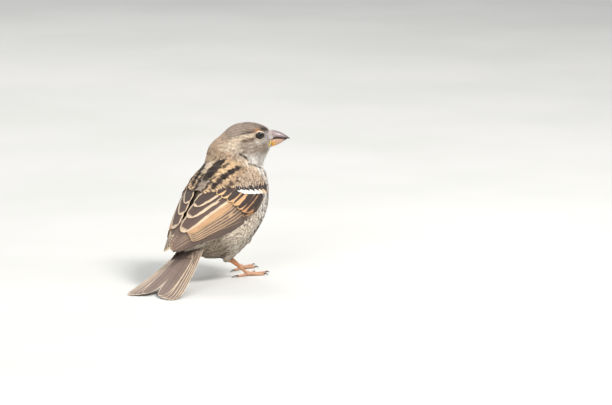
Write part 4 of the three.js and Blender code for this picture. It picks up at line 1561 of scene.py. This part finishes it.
def eye_finish():
    material, wet, shader = finish(
        "eye", roughness=0.2, coat_weight=0.8, coat_roughness=0.02, specular_ior_level=0.05
    )
    threads = wet.speckle(2600.0, 3.0)
    own = wet.read("middle", "Color")
    colour = threads.ramp(0.3, 0.7, 0.0, 0.35).blend(own, (0.09, 0.04, 0.015))
    far = wet.read("vane").parts()[0]
    iris = far.ramp(0.50, 0.56)
    coat_on(shader, base_color=iris.blend((0.004, 0.003, 0.003), colour))
    return material


eye_material = eye_finish()
lid_material = horn_finish("eyelid", roughness=0.6, streak_scale=2400.0, relief=0.5)
eye_rings, lid_rings = [], []
for side in (-1, 1):
    axes = eye_axes(side)
    polar = EYE_POLAR[:, None]
    turn = np.linspace(0, 2 * math.pi, EYE_COLUMNS, endpoint=False)[None, :]
    radius = EYE_RADIUS + CORNEA_RISE * np.exp(-((polar / 0.62) ** 2))
    eye_rings.append(revolved(axes, radius, polar, turn))
    turn = np.linspace(0, 2 * math.pi, LID_COLUMNS, endpoint=False)[:, None]
    polar, radius = np.array(LID_SECTION).T[:, None, :]
    polar = polar + (0.03 * np.cos(2 * turn + math.pi) + 0.012 * np.cos(36 * turn)) * (polar < 1.2)
    lid_rings.append((revolved(axes, radius, polar, turn),))


def iris_colours(p):
    return plain(p, tint(30, 20, 14))


def lid_colours(p):
    along, above, beside = head.read(p).T
    colour, _ = markings(head.place(along, above, np.sign(beside) * 8.5))
    middles = [eye_axes(side)[:2] for side in (-1, 1)]
    off = np.minimum.reduce([np.arccos(np.clip(unit(p - at) @ out, -1, 1)) for at, out in middles])
    rim = plain(p, tint(70, 58, 50))
    rim = over(rim, tint(214, 198, 176), step(np.abs(above - EYE_ABOVE), 1.0, 1.9))
    return over(rim, colour, step(off, 0.95, 1.05))


eyes = horn_piece("eyes", eye_rings, iris_colours, eye_material)
from_axis = np.zeros((len(eyes.data.vertices), 3), np.float32)
per_eye = np.concatenate([np.repeat(EYE_POLAR, EYE_COLUMNS), [0, EYE_POLAR[-1]]])
from_axis[:, 0] = np.tile(per_eye, 2)
eye_layer = eyes.data.attributes.new("vane", "FLOAT_VECTOR", "POINT")
eye_layer.data.foreach_set("vector", from_axis.ravel())
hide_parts("eye_left", "eye_right")
horn_piece("eyelids", lid_rings, lid_colours, lid_material)


# --- Legs and feet -----------------------------------------------------------
# Bare shanks plated in front, four toes with soft pads beneath and bands of
# scales above, resting on their flattened soles, and curved claws.

# Feet: where the shank starts and where it meets the toes, degrees the foot turns, side
FEET = {
    "right": ((-3, -6.5, 12.2), (11.8, -9.8, 1.4), -12, -1),
    "left": ((8.5, 5, 12.6), (24, 6.5, 1.4), 8, 1),
}
SHANK = ((0, 1.42), (0.08, 1.3), (0.2, 0.98), (0.5, 0.82), (0.8, 0.88), (0.93, 1.12), (1, 1.25))
# Toes: degrees from the foot's own direction, length, length of the claw
TOES = {
    "middle": (0, 12.6, 3.6), "inner": (-32, 8.8, 3.2), "outer": (30, 9.2, 3.1), "hind": (182, 7, 5),
}
TOE_RADIUS, TOE_HEIGHT, FOOT_PAD = 0.88, 0.72, 1.6
SHANK_PLATES, TOE_PLATES = 8, 8


def plates(count, height):
    """Overlapping plates on the front or top of a limb, smooth at the back."""

    def shape(turn, share):
        rise = (share * count) % 1.0
        front = step(np.cos(turn), -0.35, 0.25)
        return height * front * (rise**2 - 0.35) * step(share, 0.02, 0.08) * step(share, 0.99, 0.93)

    return shape


def flat_soled(rings):
    rings = rings.copy()
    rings[..., 2] = np.maximum(rings[..., 2], 0.0)
    return rings


leg_finish = horn_finish("leg_scales", roughness=0.5, streak_scale=1500.0, coat=0.1, relief=0.45)
claw_finish = horn_finish("claw_horn", roughness=0.35, streak_scale=1200.0, coat=0.4, relief=0.15)


def leg_colours(p):
    z = p[:, 2]
    colour = plain(p, tint(192, 144, 114))
    colour = over(colour, tint(180, 118, 68), step(z, 2.5, 7))
    colour = over(colour, tint(214, 180, 112), step(z, 0.42, 0.1))
    return over(colour, tint(140, 96, 72), step(z, 9.5, 12.5))


def claw_colours(p):
    return over(plain(p, tint(64, 48, 42)), tint(34, 26, 24), step(p[:, 2], 0.9, 0.4))


for name, (ankle, foot, foot_turn, side) in FEET.items():
    ankle, foot = np.array(ankle, float), np.array(foot, float)
    t = np.linspace(-0.06, 1, 76)
    line = ankle + (foot - ankle) * t[:, None]
    line = line + np.outer(0.25 * np.sin(math.pi * np.clip(t, 0, 1)), (0.3, 0, 1))
    radii = eased(SHANK, np.clip(t, 0, 1)) * np.sqrt(np.clip((t + 0.08) / 0.06, 0.1, 1))
    front = np.array((0.6, 0, 0.8))
    shank = pipe(line, radii, front, 24, plates(SHANK_PLATES, 0.16))
    sideways = unit(np.cross(foot - ankle, front))
    off = ((shank - line[:, None]) @ sideways)[..., None] * sideways
    limbs = [flat_soled(shank - 0.14 * off)]
    polar = np.linspace(0.1, math.pi - 0.1, 16)[:, None]
    turn = np.linspace(0, 2 * math.pi, 24, endpoint=False)[None, :]
    ball = np.stack(np.broadcast_arrays(
        np.sin(polar) * np.cos(turn), np.sin(polar) * np.sin(turn), np.cos(polar)), -1)
    knobs = 1 + 0.03 * np.sin(9 * turn + 4 * polar) * np.sin(7 * polar)
    limbs.append(flat_soled(foot + FOOT_PAD * ball * knobs[..., None] * (1, 1, 0.92)))
    shank_piece = horn_piece(f"shank_{name}", limbs, leg_colours, leg_finish)
    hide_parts(f"tarsus_{name}")
    toes, claws = [], []
    for spread, length, claw in TOES.values():
        heading = math.radians(foot_turn + side * spread)
        ahead = np.array((math.cos(heading), math.sin(heading), 0))
        start = foot * (1, 1, 0)

        def line_at(distance, height):
            return start + np.outer(distance, ahead) + np.outer(height, (0, 0, 1))

        share = np.linspace(0, 1, 60)
        distance = 0.4 + (length - 0.1) * share
        heights = ((0.4, 1.3), (0.35 * length, TOE_HEIGHT + 0.25), (0.7 * length, TOE_HEIGHT),
                   (length + 0.5, TOE_HEIGHT))
        knuckles = TOE_RADIUS * (1 - 0.22 * share) * (1 + 0.08 * np.cos(6 * math.pi * share))
        knuckles = knuckles * np.sqrt(np.clip(1 - ((share - 0.92) / 0.085).clip(0, 1) ** 2, 0.05, 1))
        toe = pipe(line_at(distance, eased(heights, distance)), knuckles, np.array((0, 0, 1.0)), 18,
                   plates(TOE_PLATES, 0.13))
        toes.append(flat_soled(toe))
        share = np.linspace(0, 1, 22)
        distance = length - 0.5 + (claw + 0.5) * share
        heights = ((length - 0.5, 0.7), (length + 0.3, 0.8), (length + 0.5 * claw, 1.02),
                   (length + claw, 0.28))
        taper = 0.5 * (1 - share) ** 0.75 + 0.07
        claws.append(flat_soled(pipe(line_at(distance, eased(heights, distance)), taper,
                                     np.array((0, 0, 1.0)), 14)))
    toe_piece = horn_piece(f"toes_{name}", toes, leg_colours, leg_finish)
    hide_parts(*(f"toe_{toe}_{name}" for toe in TOES))
    claw_piece = horn_piece(f"claws_{name}", claws, claw_colours, claw_finish)
    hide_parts(*(f"claw_{toe}_{name}" for toe in TOES))


# --- Floor, light and camera -------------------------------------------------
# A plain pale floor that runs out of sight, three soft square lamps, an even
# pale surround, and the camera looking a little down on the bird.

CAMERA_TURN, CAMERA_RISE = math.radians(-50), math.radians(10)
CAMERA_FAR, LENS, SENSOR = 2.0, 200.0, 36.0
FRAME_WIDE, FRAME_HIGH = 612, 405
TRUNK_IN_FRAME = (222, 205)
FLOOR_HALF, SIGHT = 12.0, 60.0
SURROUND, SURROUND_STRENGTH = (0.92, 0.94, 0.96, 1), 0.6


def floor_finish():
    material, wet, shader = finish("pale_floor", roughness=0.85, specular_ior_level=0.2)
    cloud = wet.speckle(6.0, 3.0)
    colour = cloud.ramp(0.3, 0.7).blend((0.60, 0.60, 0.58), (0.64, 0.635, 0.62))
    coat_on(shader, base_color=colour)
    return material


flat = bpy.data.meshes.new("floor")
flat.from_pydata(
    [(x * FLOOR_HALF, y * FLOOR_HALF, 0) for x, y in ((-1, -1), (1, -1), (1, 1), (-1, 1))],
    [], [(0, 1, 2, 3)],
)
floor = bpy.data.objects.new("floor", flat)
floor.data.materials.append(floor_finish())
bpy.context.scene.collection.objects.link(floor)

trunk_at = Vector((trunk.at + set_down) * MM)


def seen_from(turn, rise):
    """Direction from the trunk: turn about it from its right side, and rise."""
    return Vector(
        (math.sin(turn) * math.cos(rise), -math.cos(turn) * math.cos(rise), math.sin(rise))
    )


def soft_light(name, turn, rise, far, size, power, colour):
    """A square lamp aimed at the trunk."""
    lamp = bpy.data.lights.new(name, "AREA")
    lamp.size, lamp.energy, lamp.color = size, power, colour
    made = bpy.data.objects.new(name, lamp)
    way = seen_from(math.radians(turn), math.radians(rise))
    made.location = trunk_at + way * far
    made.rotation_euler = way.to_track_quat("Z", "Y").to_euler()
    bpy.context.scene.collection.objects.link(made)


soft_light("key", turn=12, rise=52, far=1.2, size=0.35, power=14.5, colour=(1.0, 0.975, 0.94))
soft_light("fill", turn=-75, rise=28, far=1.4, size=0.9, power=8.0, colour=(0.96, 0.98, 1.0))
soft_light("back", turn=150, rise=45, far=1.4, size=0.8, power=7.0, colour=(1.0, 0.98, 0.95))

world = bpy.data.worlds.new("studio")
world.use_nodes = True
surround = world.node_tree.nodes["Background"].inputs
surround["Color"].default_value, surround["Strength"].default_value = SURROUND, SURROUND_STRENGTH
bpy.context.scene.world = world
bpy.context.scene.view_settings.view_transform = "Standard"

camera = bpy.data.objects.new("camera", bpy.data.cameras.new("camera"))
camera.data.lens, camera.data.sensor_width = LENS, SENSOR
camera.data.clip_end = SIGHT
towards = seen_from(CAMERA_TURN, CAMERA_RISE)
rightwards = Vector((math.cos(CAMERA_TURN), math.sin(CAMERA_TURN), 0))
upwards = rightwards.cross(-towards)
across_pixel = CAMERA_FAR / (LENS / SENSOR * FRAME_WIDE)
camera.location = (
    trunk_at
    + towards * CAMERA_FAR
    - rightwards * ((TRUNK_IN_FRAME[0] - FRAME_WIDE / 2) * across_pixel)
    - upwards * ((FRAME_HIGH / 2 - TRUNK_IN_FRAME[1]) * across_pixel)
)
camera.rotation_mode = "QUATERNION"
camera.rotation_quaternion = towards.to_track_quat("Z", "Y")
bpy.context.scene.collection.objects.link(camera)
bpy.context.scene.camera = camera
